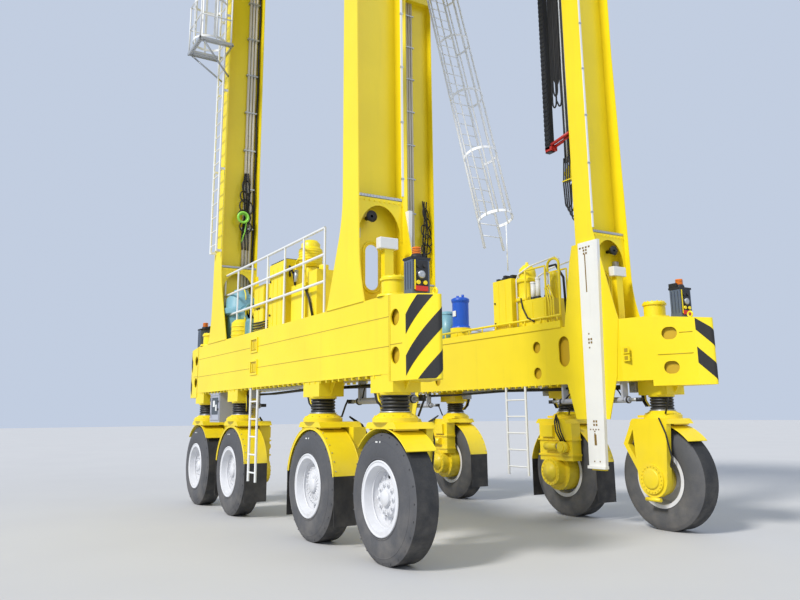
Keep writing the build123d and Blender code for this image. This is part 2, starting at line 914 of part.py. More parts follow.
def deck_drives():
    """Yellow motor housings and switch boxes that stand on the side beams."""
    with BuildPart() as drives:
        with BuildSketch(level(beam_top, drive_unit_x, -drive_unit_y)):
            Circle(drive_unit_r)
        extrude(amount=drive_unit_h)
        fillet(drives.edges().filter_by(GeomType.CIRCLE).sort_by(Axis.Z)[-1], drive_unit_r / 3)
        with BuildSketch(level(beam_top, switch_unit_x, -drive_unit_y)):
            Rectangle(switch_unit_l, cooler_unit_w)
        extrude(amount=switch_unit_h)
        with BuildSketch(level(beam_top, tank_x, tank_y)):
            Circle(tank_foot_r)
        extrude(amount=tank_foot_h)
    return drives.part


def deck_cooler():
    with BuildPart() as cooler:
        with BuildSketch(level(beam_top, cooler_unit_x, -drive_unit_y)):
            Rectangle(cooler_unit_l, cooler_unit_w)
        extrude(amount=cooler_unit_h)
    return cooler.part


# Railings and ladders
def walk_railing():
    """Railing along the outer edge of the left side beam."""
    pitch = (walk_rail_front - walk_rail_back) / (walk_rail_posts - 1)
    with BuildPart() as railing:
        with BuildSketch(level(beam_top)):
            with Locations(*[(walk_rail_back + i * pitch, -walk_rail_y) for i in range(walk_rail_posts)]):
                Circle(post_r)
        extrude(amount=walk_rail_top - beam_top)
        with BuildSketch(section(walk_rail_back)):
            with Locations(*[(-walk_rail_y, walk_rail_top - i * walk_rail_step) for i in range(3)]):
                Circle(tube_r)
        extrude(amount=walk_rail_front - walk_rail_back)
    return railing.part


def deck_railing():
    """Three flat railings, at the near, right and far edges of the top deck."""
    base = cross_top + deck_t
    edge_x = leg_front_x - deck_rail_inset
    right_y = deck_right_y - deck_rail_inset
    left_y = -top_beam_outer_y + deck_rail_inset
    side_half = edge_x - tube_r - deck_rail_gap - tube_r
    with BuildPart() as railing:
        across = round((right_y - left_y) / deck_rail_pitch)
        along = round(2 * side_half / deck_rail_pitch)
        pitch = (right_y - left_y) / across
        spots = [(end * edge_x, left_y + i * pitch) for end in (near, far) for i in range(across + 1)]
        spots += [(-side_half + i * 2 * side_half / along, right_y) for i in range(along + 1)]
        with BuildSketch(level(base)):
            with Locations(*spots):
                Circle(post_r)
        extrude(amount=rail_h)
        for height in (rail_h / 2, rail_h):
            for end in (near, far):
                with BuildSketch(upright(left_y, end * edge_x)):
                    with Locations((0, base + height)):
                        Circle(tube_r)
                extrude(amount=left_y - right_y)
            with BuildSketch(section(-side_half)):
                with Locations((right_y, base + height)):
                    Circle(tube_r)
            extrude(amount=2 * side_half)
    return railing.part


def leg_ladder():
    """Ladder along the outer face of the left far leg, caged in its upper half."""
    top = cross_top + rail_h
    cage_back = (cage_r**2 - (ladder_w / 2) ** 2) ** 0.5
    opening = degrees(asin(ladder_w / 2 / cage_r))
    cage_y = -ladder_y - cage_back
    with BuildPart() as ladder:
        with BuildSketch(level(ladder_bottom, ladder_x, -ladder_y)):
            with Locations((-ladder_w / 2, 0), (ladder_w / 2, 0)):
                Circle(tube_r)
        extrude(amount=top - ladder_bottom)
        rungs = int((top - ladder_bottom) / rung_pitch)
        with BuildSketch(section(ladder_x - ladder_w / 2, -ladder_y)):
            with Locations(*[(0, ladder_bottom + (i + 0.5) * rung_pitch) for i in range(rungs)]):
                Circle(rung_r)
        extrude(amount=ladder_w)
        # Ties to the leg's outer plate
        tie_pitch = (leg_arch - ladder_bottom) / (ladder_ties - 1)
        tie_x = ladder_w / 2 - tube_r
        with BuildSketch(upright(-beam_outer_y, ladder_x)):
            heights = [ladder_bottom + tube_r + i * tie_pitch for i in range(ladder_ties)]
            with Locations(*[(way * tie_x, z) for way in (near, far) for z in heights]):
                Rectangle(2 * tube_r, 2 * tube_r)
        extrude(amount=ladder_y - beam_outer_y)
        # Cage hoops and straps
        hoops = int((top - cage_bottom) / hoop_pitch) + 1
        for i in range(hoops):
            with BuildSketch(level(cage_bottom + i * hoop_pitch, ladder_x, cage_y)):
                with BuildLine():
                    inner = CenterArc((0, 0), cage_r, 90 + opening, 360 - 2 * opening)
                    outer = CenterArc((0, 0), cage_r + hoop_t, 90 + opening, 360 - 2 * opening)
                    Line(inner @ 0, outer @ 0)
                    Line(inner @ 1, outer @ 1)
                make_face()
            extrude(amount=hoop_w)
        with BuildSketch(level(cage_bottom, ladder_x, cage_y)):
            with PolarLocations(cage_r + hoop_t / 2, cage_straps, 180, 180, endpoint=True):
                Rectangle(hoop_t, hoop_w)
        extrude(amount=(hoops - 1) * hoop_pitch + hoop_w)
    return ladder.part


def step_ladders():
    """Short ladders that hang under the side beams."""
    rungs = int((beam_bottom - step_bottom) / rung_pitch)
    with BuildPart() as ladders:
        for y, x, width in (
            (-beam_outer_y + tube_r, step_left_x, step_left_w),
            (beam_inner_y + tube_r, step_right_x, step_right_w),
        ):
            with BuildSketch(level(step_bottom, x, y)):
                with Locations((-width / 2, 0), (width / 2, 0)):
                    Circle(tube_r)
            extrude(amount=beam_bottom - step_bottom)
            with BuildSketch(section(x - width / 2, y)):
                with Locations(*[(0, step_bottom + (i + 0.5) * rung_pitch) for i in range(rungs)]):
                    Circle(rung_r)
            extrude(amount=width)
    return ladders.part


def inclined_ladder():
    """Caged ladder that slopes from the top deck down towards the right side beam."""
    run = stair_foot_y - stair_head_y
    drop = cross_top - stair_foot_z
    length = (run**2 + drop**2) ** 0.5
    slope = Plane(
        origin=(0, centre_y + stair_foot_y, stair_foot_z), x_dir=(1, 0, 0), z_dir=(0, -run, drop)
    )
    cage_back = (cage_r**2 - (ladder_w / 2) ** 2) ** 0.5
    opening = degrees(asin(ladder_w / 2 / cage_r))
    with BuildPart() as ladder:
        with BuildSketch(slope):
            with Locations((-ladder_w / 2, 0), (ladder_w / 2, 0)):
                Circle(tube_r)
        extrude(amount=length)
        rungs = int(length / rung_pitch)
        side_plane = Plane(origin=slope.origin, x_dir=slope.z_dir, z_dir=(1, 0, 0))
        with BuildSketch(side_plane.offset(-ladder_w / 2)):
            with Locations(*[((i + 0.5) * rung_pitch, 0) for i in range(rungs)]):
                Circle(rung_r)
        extrude(amount=ladder_w)
        hoops = int((length - stair_cage_bottom) / hoop_pitch)
        for i in range(hoops):
            with BuildSketch(slope.offset(stair_cage_bottom + i * hoop_pitch)):
                with BuildLine():
                    inner = CenterArc((0, -cage_back), cage_r, 90 + opening, 360 - 2 * opening)
                    outer = CenterArc((0, -cage_back), cage_r + hoop_t, 90 + opening, 360 - 2 * opening)
                    Line(inner @ 0, outer @ 0)
                    Line(inner @ 1, outer @ 1)
                make_face()
            extrude(amount=hoop_w)
        with BuildSketch(slope.offset(stair_cage_bottom)):
            with Locations((0, -cage_back)):
                with PolarLocations(cage_r + hoop_t / 2, cage_straps, 180, 180, endpoint=True):
                    Rectangle(hoop_t, hoop_w)
        extrude(amount=(hoops - 1) * hoop_pitch + hoop_w)
        split(bisect_by=Plane.XY.offset(cross_top), keep=Keep.BOTTOM)
    return ladder.part


def deck_bearers():
    """Dark crossbars under the top deck, between the top beams."""
    first = -(bearer_count - 1) * bearer_pitch / 2
    with BuildPart() as bearers:
        for i in range(bearer_count):
            with BuildSketch(level(bearer_bottom, first + i * bearer_pitch)):
                Rectangle(bearer_w, 2 * top_beam_inner_y)
            extrude(amount=bearer_h)
    return bearers.part


def hoist_motors():
    """Light-blue drum and motor of the hoist, and the smaller drum at the right edge."""
    with BuildPart() as motors:
        with BuildSketch(upright(-drum_inner_y - stand_t / 2, hoist_x)):
            with Locations((0, drum_z)):
                Circle(drum_r)
        extrude(amount=drum_outer_y - drum_inner_y - stand_t)
        with BuildSketch(upright(-drum_outer_y - stand_t / 2, hoist_x)):
            with Locations((0, drum_z)):
                Circle(motor_r)
        extrude(amount=motor_outer_y - drum_outer_y)
        with BuildSketch(upright(side_drum_outer_y - stand_t / 2, hoist_x)):
            with Locations((0, drum_z)):
                Circle(side_drum_r)
        extrude(amount=side_drum_outer_y - side_drum_inner_y - stand_t)
    return motors.part


save(side_beam(left), "side_beam_left")
save(side_beam(right), "side_beam_right")
for side in (left, right):
    for end in (near, far):
        save(leg(side, end), f"leg_{side_names[side]}_{end_names[end]}")
save(guide_strips(), "guide_strips")
save(cross_beams(), "cross_beams")
save(top_beams(), "top_beams")
save(top_deck(), "top_deck")
save(machinery_house(), "machinery_house")
save(deck_bearers(), "deck_bearers")
save(hoist_stands(), "hoist_stands")
save(hoist_motors(), "hoist_motors")
save(bellows(), "bellows")
save(scanners(), "scanners")
save(beacons(), "beacons")
save(steering_cylinders(), "steering_cylinders")
save(under_cabinet(), "under_cabinet")
save(power_unit(), "power_unit")
save(air_tank(), "air_tank")
save(deck_drives(), "deck_drives")
save(deck_cooler(), "deck_cooler")
save(walk_railing(), "walk_railing")
save(deck_railing(), "deck_railing")
save(leg_ladder(), "leg_ladder")
save(step_ladders(), "step_ladders")
save(inclined_ladder(), "inclined_ladder")
for side in (left, right):
    for number in axles:
        name = f"{side_names[side]}_{number}"
        save(fork(side, number), f"fork_{name}")
        save(tyre(side, axles[number]), f"tyre_{name}")
        save(rim(side, axles[number]), f"rim_{name}")
        if number in (2, 3):
            save(mudflaps(side, number), f"mudflaps_{name}")
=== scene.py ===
from math import acos, asin, atan2, cos, pi, radians, sin

import bpy
from mathutils import Matrix, Vector


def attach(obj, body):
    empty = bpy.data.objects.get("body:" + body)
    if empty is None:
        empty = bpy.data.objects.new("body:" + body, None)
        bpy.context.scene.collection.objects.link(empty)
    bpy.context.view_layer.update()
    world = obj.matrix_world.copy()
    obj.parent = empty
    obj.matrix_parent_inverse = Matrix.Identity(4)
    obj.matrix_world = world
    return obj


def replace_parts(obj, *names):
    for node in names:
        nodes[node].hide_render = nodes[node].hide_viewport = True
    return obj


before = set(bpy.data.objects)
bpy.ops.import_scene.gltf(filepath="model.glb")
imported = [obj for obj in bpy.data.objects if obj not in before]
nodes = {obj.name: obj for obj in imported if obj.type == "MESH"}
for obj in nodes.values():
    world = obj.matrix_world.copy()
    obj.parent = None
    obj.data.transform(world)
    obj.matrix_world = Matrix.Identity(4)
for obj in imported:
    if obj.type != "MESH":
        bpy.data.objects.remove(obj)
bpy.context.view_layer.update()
scene = bpy.context.scene

# Metres. The frame's centre plane is at y = CENTRE; the helpers take y measured from it.
CENTRE = 0.359
LEFT, RIGHT = -1, 1
NEAR, FAR = 1, -1
SIDE = {LEFT: "left", RIGHT: "right"}
AXLES = {1: 3.9, 2: 1.78, 3: -1.78, 4: -3.9}
TRACK = 2.472
TYRE_R = 0.77


# Materials
def noise(tree, coords, scale, detail=3, stretch=(1, 1, 1)):
    mapping = tree.nodes.new("ShaderNodeMapping")
    mapping.inputs["Scale"].default_value = stretch
    texture = tree.nodes.new("ShaderNodeTexNoise")
    texture.inputs["Scale"].default_value = scale
    texture.inputs["Detail"].default_value = detail
    tree.links.new(coords.outputs["Object"], mapping.inputs["Vector"])
    tree.links.new(mapping.outputs["Vector"], texture.inputs["Vector"])
    return texture.outputs["Fac"]


def spread(tree, value, low, high, start, end):
    """Maps a value's span from low to high onto start to end."""
    node = tree.nodes.new("ShaderNodeMapRange")
    node.inputs["From Min"].default_value = low
    node.inputs["From Max"].default_value = high
    node.inputs["To Min"].default_value = start
    node.inputs["To Max"].default_value = end
    tree.links.new(value, node.inputs["Value"])
    return node.outputs["Result"]


def blend(tree, share, first, second):
    node = tree.nodes.new("ShaderNodeMix")
    node.data_type = "RGBA"
    for name, value in (("Factor", share), ("A", first), ("B", second)):
        socket = [s for s in node.inputs if s.name == name and s.enabled][0]
        if isinstance(value, (tuple, float, int)):
            socket.default_value = value
        else:
            tree.links.new(value, socket)
    return [s for s in node.outputs if s.enabled][0]


def finish_of(
    name, colour, rough=0.45, metal=0.0, grain=0.06, dirt=0.1, dust=0.0, bump=0.04, sidewall_highlight=None
):
    """Painted, galvanised or rubber surface with uneven tone, streaks, dust and grain; an optional
    lighter colour for faces turned along y paints a highlight on them.
    """
    material = bpy.data.materials.new(name)
    material.use_nodes = True
    tree = material.node_tree
    shader = tree.nodes["Principled BSDF"]
    coords = tree.nodes.new("ShaderNodeTexCoord")
    base = (*colour, 1)
    worn = (*[c * (1 - 2.2 * grain) for c in colour], 1)
    tone = blend(tree, spread(tree, noise(tree, coords, 0.9, 5), 0.35, 0.65, 0, 1), base, worn)
    # Faces turned along y (a tyre's sidewalls) get the lighter colour: a painted highlight, as if
    # the sides were lit
    if sidewall_highlight:
        split = tree.nodes.new("ShaderNodeSeparateXYZ")
        tree.links.new(coords.outputs["Normal"], split.inputs[0])
        flat = tree.nodes.new("ShaderNodeMath")
        flat.operation = "ABSOLUTE"
        tree.links.new(split.outputs["Y"], flat.inputs[0])
        tone = blend(tree, spread(tree, flat.outputs[0], 0.35, 0.7, 0, 1), tone, (*sidewall_highlight, 1))
    streaks = noise(tree, coords, 7.0, 4, (1, 1, 0.08))
    grime = tuple(c * 0.45 + 0.03 for c in colour)
    tone = blend(tree, spread(tree, streaks, 0.56, 0.8, 0, dirt), tone, (*grime, 1))
    if dust:
        height = tree.nodes.new("ShaderNodeSeparateXYZ")
        tree.links.new(coords.outputs["Object"], height.inputs[0])
        low = spread(tree, height.outputs["Z"], 0.0, 1.4, dust, 0)
        patches = spread(tree, noise(tree, coords, 5.0, 5), 0.4, 0.7, 0.2, 1)
        share = tree.nodes.new("ShaderNodeMath")
        share.operation = "MULTIPLY"
        tree.links.new(low, share.inputs[0])
        tree.links.new(patches, share.inputs[1])
        tone = blend(tree, share.outputs[0], tone, (0.33, 0.3, 0.26, 1))
    tree.links.new(tone, shader.inputs["Base Color"])
    fine = noise(tree, coords, 45.0, 4)
    tree.links.new(
        spread(tree, fine, 0.3, 0.7, rough - 0.07, rough + 0.09), shader.inputs["Roughness"]
    )
    shader.inputs["Metallic"].default_value = metal
    relief = tree.nodes.new("ShaderNodeBump")
    relief.inputs["Strength"].default_value = bump
    relief.inputs["Distance"].default_value = 0.01
    tree.links.new(fine, relief.inputs["Height"])
    tree.links.new(relief.outputs["Normal"], shader.inputs["Normal"])
    return material


YELLOW = finish_of("yellow_paint", (0.9, 0.71, 0.012), 0.38, grain=0.035, dirt=0.12)
LOW_YELLOW = finish_of("yellow_paint_low", (0.9, 0.69, 0.012), 0.42, grain=0.05, dirt=0.2, dust=0.3)
# Darker ochre for weld seams and the insides of ports and framed recesses: painted shade of grooves
# and recesses on the yellow paint
SEAM_SHADE = finish_of("weld_seam_painted_shade", (0.5, 0.35, 0.01), 0.5, grain=0.08)
BROWN = finish_of("mark_brown", (0.2, 0.12, 0.02), 0.5, grain=0.05)
BEIGE = finish_of("duct_beige", (0.68, 0.64, 0.55), 0.5, grain=0.06, dirt=0.2)
RED = finish_of("red_paint", (0.6, 0.03, 0.02), 0.4, grain=0.05)
LIME = finish_of("lime_hose", (0.3, 0.75, 0.08), 0.4, grain=0.05)
GLASS = finish_of("dark_glass", (0.02, 0.03, 0.035), 0.12, grain=0.05)
WHITE = finish_of("white_paint", (0.78, 0.79, 0.78), 0.4, grain=0.04, dirt=0.15)
GREY = finish_of("grey_paint", (0.42, 0.44, 0.5), 0.45, grain=0.05, dirt=0.12)
DARK = finish_of("dark_steel", (0.035, 0.036, 0.04), 0.45, 0.4, grain=0.1, dirt=0.15)
ZINC = finish_of("galvanised", (0.5, 0.52, 0.54), 0.42, 0.7, grain=0.12, dirt=0.15)
PALE_ZINC = finish_of("galvanised_light", (0.9, 0.92, 0.95), 0.45, grain=0.03, dirt=0.04)
PALE_BLUE = finish_of("light_blue_paint", (0.2, 0.42, 0.5), 0.4, grain=0.06, dirt=0.12)
BLUE = finish_of("blue_paint", (0.01, 0.09, 0.55), 0.35, grain=0.05, dirt=0.1)
SCANNER = finish_of("scanner_grey", (0.1, 0.13, 0.18), 0.5, grain=0.08, dirt=0.1)
# Darker yellow for the beam's inside behind its holes: painted shade
HOLLOW_SHADE = finish_of("hollow_yellow_painted_shade", (0.62, 0.4, 0.01), 0.6, grain=0.08, dirt=0.2)
AMBER = finish_of("amber_lens", (0.9, 0.22, 0.01), 0.2, grain=0.04, dirt=0.05)
BLACK = finish_of("black_rubber", (0.012, 0.012, 0.013), 0.6, grain=0.1, dirt=0.2, dust=0.2)
# Rubber for the bellows' ribs, lighter than the black rubber: a painted highlight on the ribs
RIB_HIGHLIGHT = finish_of("rib_rubber_painted_highlight", (0.03, 0.032, 0.036), 0.45, grain=0.1, dirt=0.1)
# Tyre: sidewalls painted lighter than the tread, a painted highlight; the tread stays dark
TYRE = finish_of(
    "tyre", (0.016, 0.018, 0.022), 0.75, grain=0.1, dirt=0.2, dust=0.3, bump=0.12,
    sidewall_highlight=(0.07, 0.073, 0.082)
)
RIM = finish_of("rim_white", (0.72, 0.73, 0.76), 0.4, grain=0.05, dirt=0.25, dust=0.3)

SLOTS = {
    "yellow_paint": YELLOW, "white_paint": WHITE, "grey_paint": GREY, "dark_steel": DARK,
    "galvanised": ZINC, "light_blue_paint": PALE_BLUE, "blue_paint": BLUE, "scanner_grey": SCANNER,
    "amber_lens": AMBER, "black_rubber": BLACK, "tyre": TYRE, "rim_white": RIM,
}
for name, node in nodes.items():
    packed = node.data.materials[0].name.split(".")[0] if node.data.materials else ""
    material = SLOTS.get(packed, YELLOW)
    if name.startswith("fork_"):
        material = LOW_YELLOW
    node.data.materials.clear()
    node.data.materials.append(material)


# Shapes: each is a list of points, a list of faces and whether it shades smooth
def block(x0, x1, y0, y1, z0, z1):
    points = [(x, y, z) for x in (x0, x1) for y in (y0, y1) for z in (z0, z1)]
    return points, [
        (0, 1, 3, 2), (4, 6, 7, 5), (0, 4, 5, 1), (2, 3, 7, 6), (0, 2, 6, 4), (1, 5, 7, 3)
    ], False


def sides_of(axis):
    axis = Vector(axis).normalized()
    guess = Vector((0, 0, 1)) if abs(axis.z) < 0.9 else Vector((1, 0, 0))
    first = guess.cross(axis).normalized()
    return first, axis.cross(first)


def lathe(profile, centre, axis, count=32):
    """Turns (distance along the axis, radius) pairs round the axis."""
    axis = Vector(axis).normalized()
    first, second = sides_of(axis)
    points, faces = [], []
    for along, radius in profile:
        for i in range(count):
            turn = 2 * pi * i / count
            points.append(
                Vector(centre) + axis * along + (first * cos(turn) + second * sin(turn)) * radius
            )
    for row in range(len(profile) - 1):
        for i in range(count):
            a, b = row * count + i, row * count + (i + 1) % count
            faces.append((a, b, b + count, a + count))
    return points, faces, True


def rod(start, end, radius, count=12, smooth=True):
    way = Vector(end) - Vector(start)
    points, faces, _ = lathe([(0, radius), (way.length, radius)], start, way, count)
    faces += [tuple(range(count))[::-1], tuple(range(count, 2 * count))]
    return points, faces, smooth


def ring(centre, axis, radius, thick, count=40, across=8):
    profile = [
        (thick * sin(2 * pi * i / across), radius + thick * cos(2 * pi * i / across))
        for i in range(across + 1)
    ]
    return lathe(profile, centre, axis, count)


def tube(path, radius, count=8):
    path = [Vector(p) for p in path]
    points, faces = [], []
    first = None
    for i, p in enumerate(path):
        way = (path[min(i + 1, len(path) - 1)] - path[max(i - 1, 0)]).normalized()
        if first is None:
            first = sides_of(way)[0]
        first = (first - way * first.dot(way)).normalized()
        second = way.cross(first)
        for k in range(count):
            turn = 2 * pi * k / count
            points.append(p + (first * cos(turn) + second * sin(turn)) * radius)
    for i in range(len(path) - 1):
        for k in range(count):
            a, b = i * count + k, i * count + (k + 1) % count
            faces.append((a, b, b + count, a + count))
    last = (len(path) - 1) * count
    faces += [tuple(range(count))[::-1], tuple(range(last, last + count))]
    return points, faces, True


def slab(outline, origin, across, up, depth):
    """Plate: an outline in (across, up), thickened by depth along across x up."""
    across, up, origin = Vector(across), Vector(up), Vector(origin)
    normal = across.cross(up)
    flat = [origin + across * a + up * b for a, b in outline]
    count = len(flat)
    points = flat + [p + normal * depth for p in flat]
    faces = [tuple(range(count))[::-1], tuple(range(count, 2 * count))]
    faces += [(i, (i + 1) % count, (i + 1) % count + count, i + count) for i in range(count)]
    return points, faces, False


def bolt(place, normal, radius=0.018, height=0.016):
    end = Vector(place) + Vector(normal).normalized() * height
    points, faces, _ = rod(place, end, radius, 6, smooth=False)
    return points, faces, False


def circle_of(count, radius, centre, axis, start=0.0):
    first, second = sides_of(axis)
    turns = [start + 2 * pi * i / count for i in range(count)]
    return [Vector(centre) + (first * cos(t) + second * sin(t)) * radius for t in turns]


def piece(name, material, body, shapes, bevel=0.0):
    """One object from several shapes, riding on a body."""
    points, faces, smooth = [], [], []
    for shape_points, shape_faces, soft in shapes:
        base = len(points)
        points += [(p[0], p[1] + CENTRE, p[2]) for p in shape_points]
        faces += [tuple(base + i for i in face) for face in shape_faces]
        smooth += [soft and len(face) == 4 for face in shape_faces]
    mesh = bpy.data.meshes.new(name)
    mesh.from_pydata(points, [], faces)
    mesh.polygons.foreach_set("use_smooth", smooth)
    mesh.materials.append(material)
    made = bpy.data.objects.new(name, mesh)
    scene.collection.objects.link(made)
    if bevel:
        edge = made.modifiers.new("edge", "BEVEL")
        edge.width = bevel
        edge.segments = 2
        edge.limit_method = "ANGLE"
        edge.angle_limit = radians(40)
    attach(made, body)
    return made


# Hazard tape round the ends of the side beams
ARC_X, ARC_Y, ARC_R, FILLET = 4.5051, 2.004, 0.64, 0.04
BACK = Vector((4.755, 2.288))


def end_top(x):
    return 3.237 - 0.097 * (x - 4.1) / 0.877


def nose_path(lift):
    """Points (s, x, y) round the outer arc, the small fillet and the bay face of an end box."""
    nose = Vector((ARC_X + ARC_R * cos(radians(42.5)), ARC_Y + ARC_R * sin(radians(42.5))))
    along = (BACK - nose).normalized()
    inward = Vector((along.y, -along.x))
    reach = (FILLET - (Vector((ARC_X, ARC_Y)) - nose).dot(inward)) / (ARC_R - FILLET)
    turn = atan2(inward.y, inward.x) - acos(reach)
    centre = Vector((ARC_X, ARC_Y)) + Vector((cos(turn), sin(turn))) * (ARC_R - FILLET)
    path = []
    for i in range(19):
        a = pi / 2 + (turn - pi / 2) * i / 18
        path.append(Vector((ARC_X + (ARC_R + lift) * cos(a), ARC_Y + (ARC_R + lift) * sin(a))))
    last = atan2(-inward.y, -inward.x)
    for i in range(1, 7):
        a = turn + (last - turn) * i / 6
        path.append(centre + Vector((cos(a), sin(a))) * (FILLET + lift))
    path.append(BACK - inward * lift - along * 0.01)
    rows, s = [(0.0, *path[0])], 0.0
    for i in range(1, len(path)):
        s += (path[i] - path[i - 1]).length
        rows.append((s, *path[i]))
    return rows


def hazard_bands():
    shapes = []
    for side in (LEFT, RIGHT):
        for end in (NEAR, FAR):
            for low in (1.713, 2.207, 2.70):
                rows = []
                for s, x, y in nose_path(0.0025):
                    top = end_top(x) - 0.012
                    z0 = min(max(low + s, 2.165), top)
                    z1 = min(max(low + 0.24 + s, 2.165), top)
                    if z1 - z0 > 0.001:
                        rows.append([(end * x, side * y, z0), (end * x, side * y, z1)])
                points = [p for row in rows for p in row]
                faces = [(2 * i, 2 * i + 2, 2 * i + 3, 2 * i + 1) for i in range(len(rows) - 1)]
                shapes.append((points, faces, False))
    piece("hazard_bands", BLACK, "chassis", shapes)


hazard_bands()


def strip(axis, low, high, place, width, side, out=0.0025):
    """Thin raised line on an outer or bay face: axis 'x' runs level, 'z' runs upright."""
    y, way = place
    near_y, far_y = sorted((side * y, side * (y + way * out)))
    if axis == "x":
        return block(low, high, near_y, far_y, width[0], width[1])
    return block(width[0], width[1], near_y, far_y, low, high)


# Side beams: seams, framed recesses, gussets, kerbs and lifting eyes
def beam_trim(side):
    seams, frames, recess_shades, small = [], [], [], []
    outer, inner = (2.644, 1), (1.886, -1)
    # Weld seams as darker raised lines: painted shade along them
    for z in (2.59, 2.958):
        seams.append(strip("x", -4.1, 4.1, outer, (z - 0.005, z + 0.005), side))
    for end in (NEAR, FAR):
        for x in (4.1, 4.13):
            seams.append(
                strip(
                    "z", 2.165, end_top(x) - 0.005, outer, sorted((end * x, end * (x + 0.006))),
                    side
                )
            )
        seams.append(strip("x", *sorted((end * 4.13, end * 4.42)), outer, (2.6, 2.61), side))
        seams.append(strip("x", *sorted((end * 2.45, end * 3.5)), inner, (2.262, 2.272), side))
        # Small square ports by the leg's foot; the darker square inside each frame is painted shade
        for z in (2.725, 2.605):
            frames.append(
                strip(
                    "x", *sorted((end * 3.69, end * 3.82)), inner, (z - 0.05, z + 0.05), side, 0.012
                )
            )
            recess_shades.append(
                strip(
                    "x", *sorted((end * 3.72, end * 3.79)), inner, (z - 0.03, z + 0.03), side, 0.014
                )
            )
        # Seams on the slanted bay face, darker: painted shade along them
        for z, low, high in ((2.63, 4.2, 4.71), (2.95, 4.53, 4.72)):
            path = []
            for x in (low, high):
                y = 1.886 + 0.402 * (x - 3.64) / 1.115 - 0.002
                path.append((end * x, side * y, z))
            seams.append(tube(path, 0.006, 6))
        # Lifting eye
        small.append(
            ring((end * 4.67, side * 2.32, end_top(4.67) + 0.045), (0, 1, 0), 0.04, 0.014, 20)
        )
        # Cap rings and bolts
        cap = (end * 3.9, side * 2.44)
        small.append(lathe([(0, 0.23), (0.03, 0.23), (0.03, 0.16)], (*cap, 3.237), (0, 0, 1), 40))
        small.append(lathe([(0, 0.18), (0.025, 0.175), (0.03, 0.0)], (*cap, 3.48), (0, 0, 1), 40))
        small += [
            bolt(p, (0, 0, 1), 0.012, 0.012) for p in circle_of(16, 0.207, (*cap, 3.267), (0, 0, 1))
        ]
        small += [
            bolt(p, (0, 0, 1), 0.012, 0.014) for p in circle_of(12, 0.15, (*cap, 3.507), (0, 0, 1))
        ]
    # Framed recesses on the outer face; the darker sheet inside each frame is painted shade
    for z in (2.99, 2.60):
        for x0, x1, z0, z1 in (
            (-0.84, -0.5, 0.1, 0.13), (-0.84, -0.5, -0.13, -0.1), (-0.84, -0.81, -0.1, 0.1),
            (-0.53, -0.5, -0.1, 0.1)
        ):
            frames.append(strip("x", x0, x1, outer, (z + z0, z + z1), side, 0.02))
        recess_shades.append(strip("x", -0.81, -0.53, outer, (z - 0.1, z + 0.1), side, 0.004))
        for x in (-0.76, -0.67, -0.6):
            frames.append(strip("x", x, x + 0.03, outer, (z - 0.08, z + 0.06), side, 0.016))
    for i in range(38):
        x = -3.7 + i * 0.2
        small.append(block(x, x + 0.025, *sorted((side * 2.6, side * 2.65)), 2.215, 2.25))
    small.append(block(-3.9, 3.9, *sorted((side * 2.61, side * 2.652)), 2.25, 2.262))
    for i in range(24):
        x = -2.25 + i * 0.19
        small.append(block(x, x + 0.02, *sorted((side * 1.88, side * 1.93)), 2.22, 2.25))
    small.append(block(-2.3, 2.3, *sorted((side * 1.868, side * 1.93)), 3.237, 3.36))
    small.append(tube([(-2.3, side * 1.9, 3.46), (2.3, side * 1.9, 3.46)], 0.022))
    for i in range(11):
        small.append(
            rod((-2.2 + i * 0.44, side * 1.9, 3.36), (-2.2 + i * 0.44, side * 1.9, 3.46), 0.014, 8)
        )
    name = SIDE[side]
    piece(f"beam_seams_{name}", SEAM_SHADE, "chassis", seams)
    piece(f"beam_frames_{name}", YELLOW, "chassis", frames)
    piece(f"beam_recess_shades_{name}", SEAM_SHADE, "chassis", recess_shades)
    piece(f"beam_fittings_{name}", YELLOW, "chassis", small)


for side in (LEFT, RIGHT):
    beam_trim(side)


# Yellow inside of the side beams, seen through the access holes and slots; its darker yellow is
# painted shade inside the beam
def hole_backs():
    shapes = []
    along = Vector((1.115, 0.402)).normalized()
    for side in (LEFT, RIGHT):
        for end in (NEAR, FAR):
            for z in (2.935, 2.47):
                shapes.append(
                    rod((end * 4.25, side * 2.585, z), (end * 4.25, side * 2.589, z), 0.16, 24)
                )
                shapes.append(
                    rod((end * 1.63, side * 1.941, z), (end * 1.63, side * 1.945, z), 0.16, 24)
                )
            shapes.append(
                block(
                    *sorted((end * 2.15, end * 2.55)), *sorted((side * 1.95, side * 1.954)), 2.5,
                    3.12
                )
            )
            for z in (2.95, 2.43):
                middle = (end * (4.385 - 0.06 * along.y), side * (2.1546 + 0.06 * along.x), z)
                outline = [(-0.18, -0.15), (0.18, -0.15), (0.18, 0.15), (-0.18, 0.15)]
                shapes.append(
                    slab(outline, middle, (end * along.x, side * along.y, 0), (0, 0, 1), 0.003)
                )
    piece("beam_inside", HOLLOW_SHADE, "chassis", shapes)


hole_backs()


# Legs: steps, arched ribs, opening frames, cable rails, guide strip fittings
def obround(centre_y, x, low, high, width, radius=0.012):
    half = width / 2
    path = []
    for i in range(13):
        a = pi * i / 12
        path.append((x, centre_y + half * cos(a), high - half + half * sin(a)))
    for i in range(13):
        a = pi + pi * i / 12
        path.append((x, centre_y + half * cos(a), low + half + half * sin(a)))
    path.append(path[0])
    return tube(path, radius, 8)


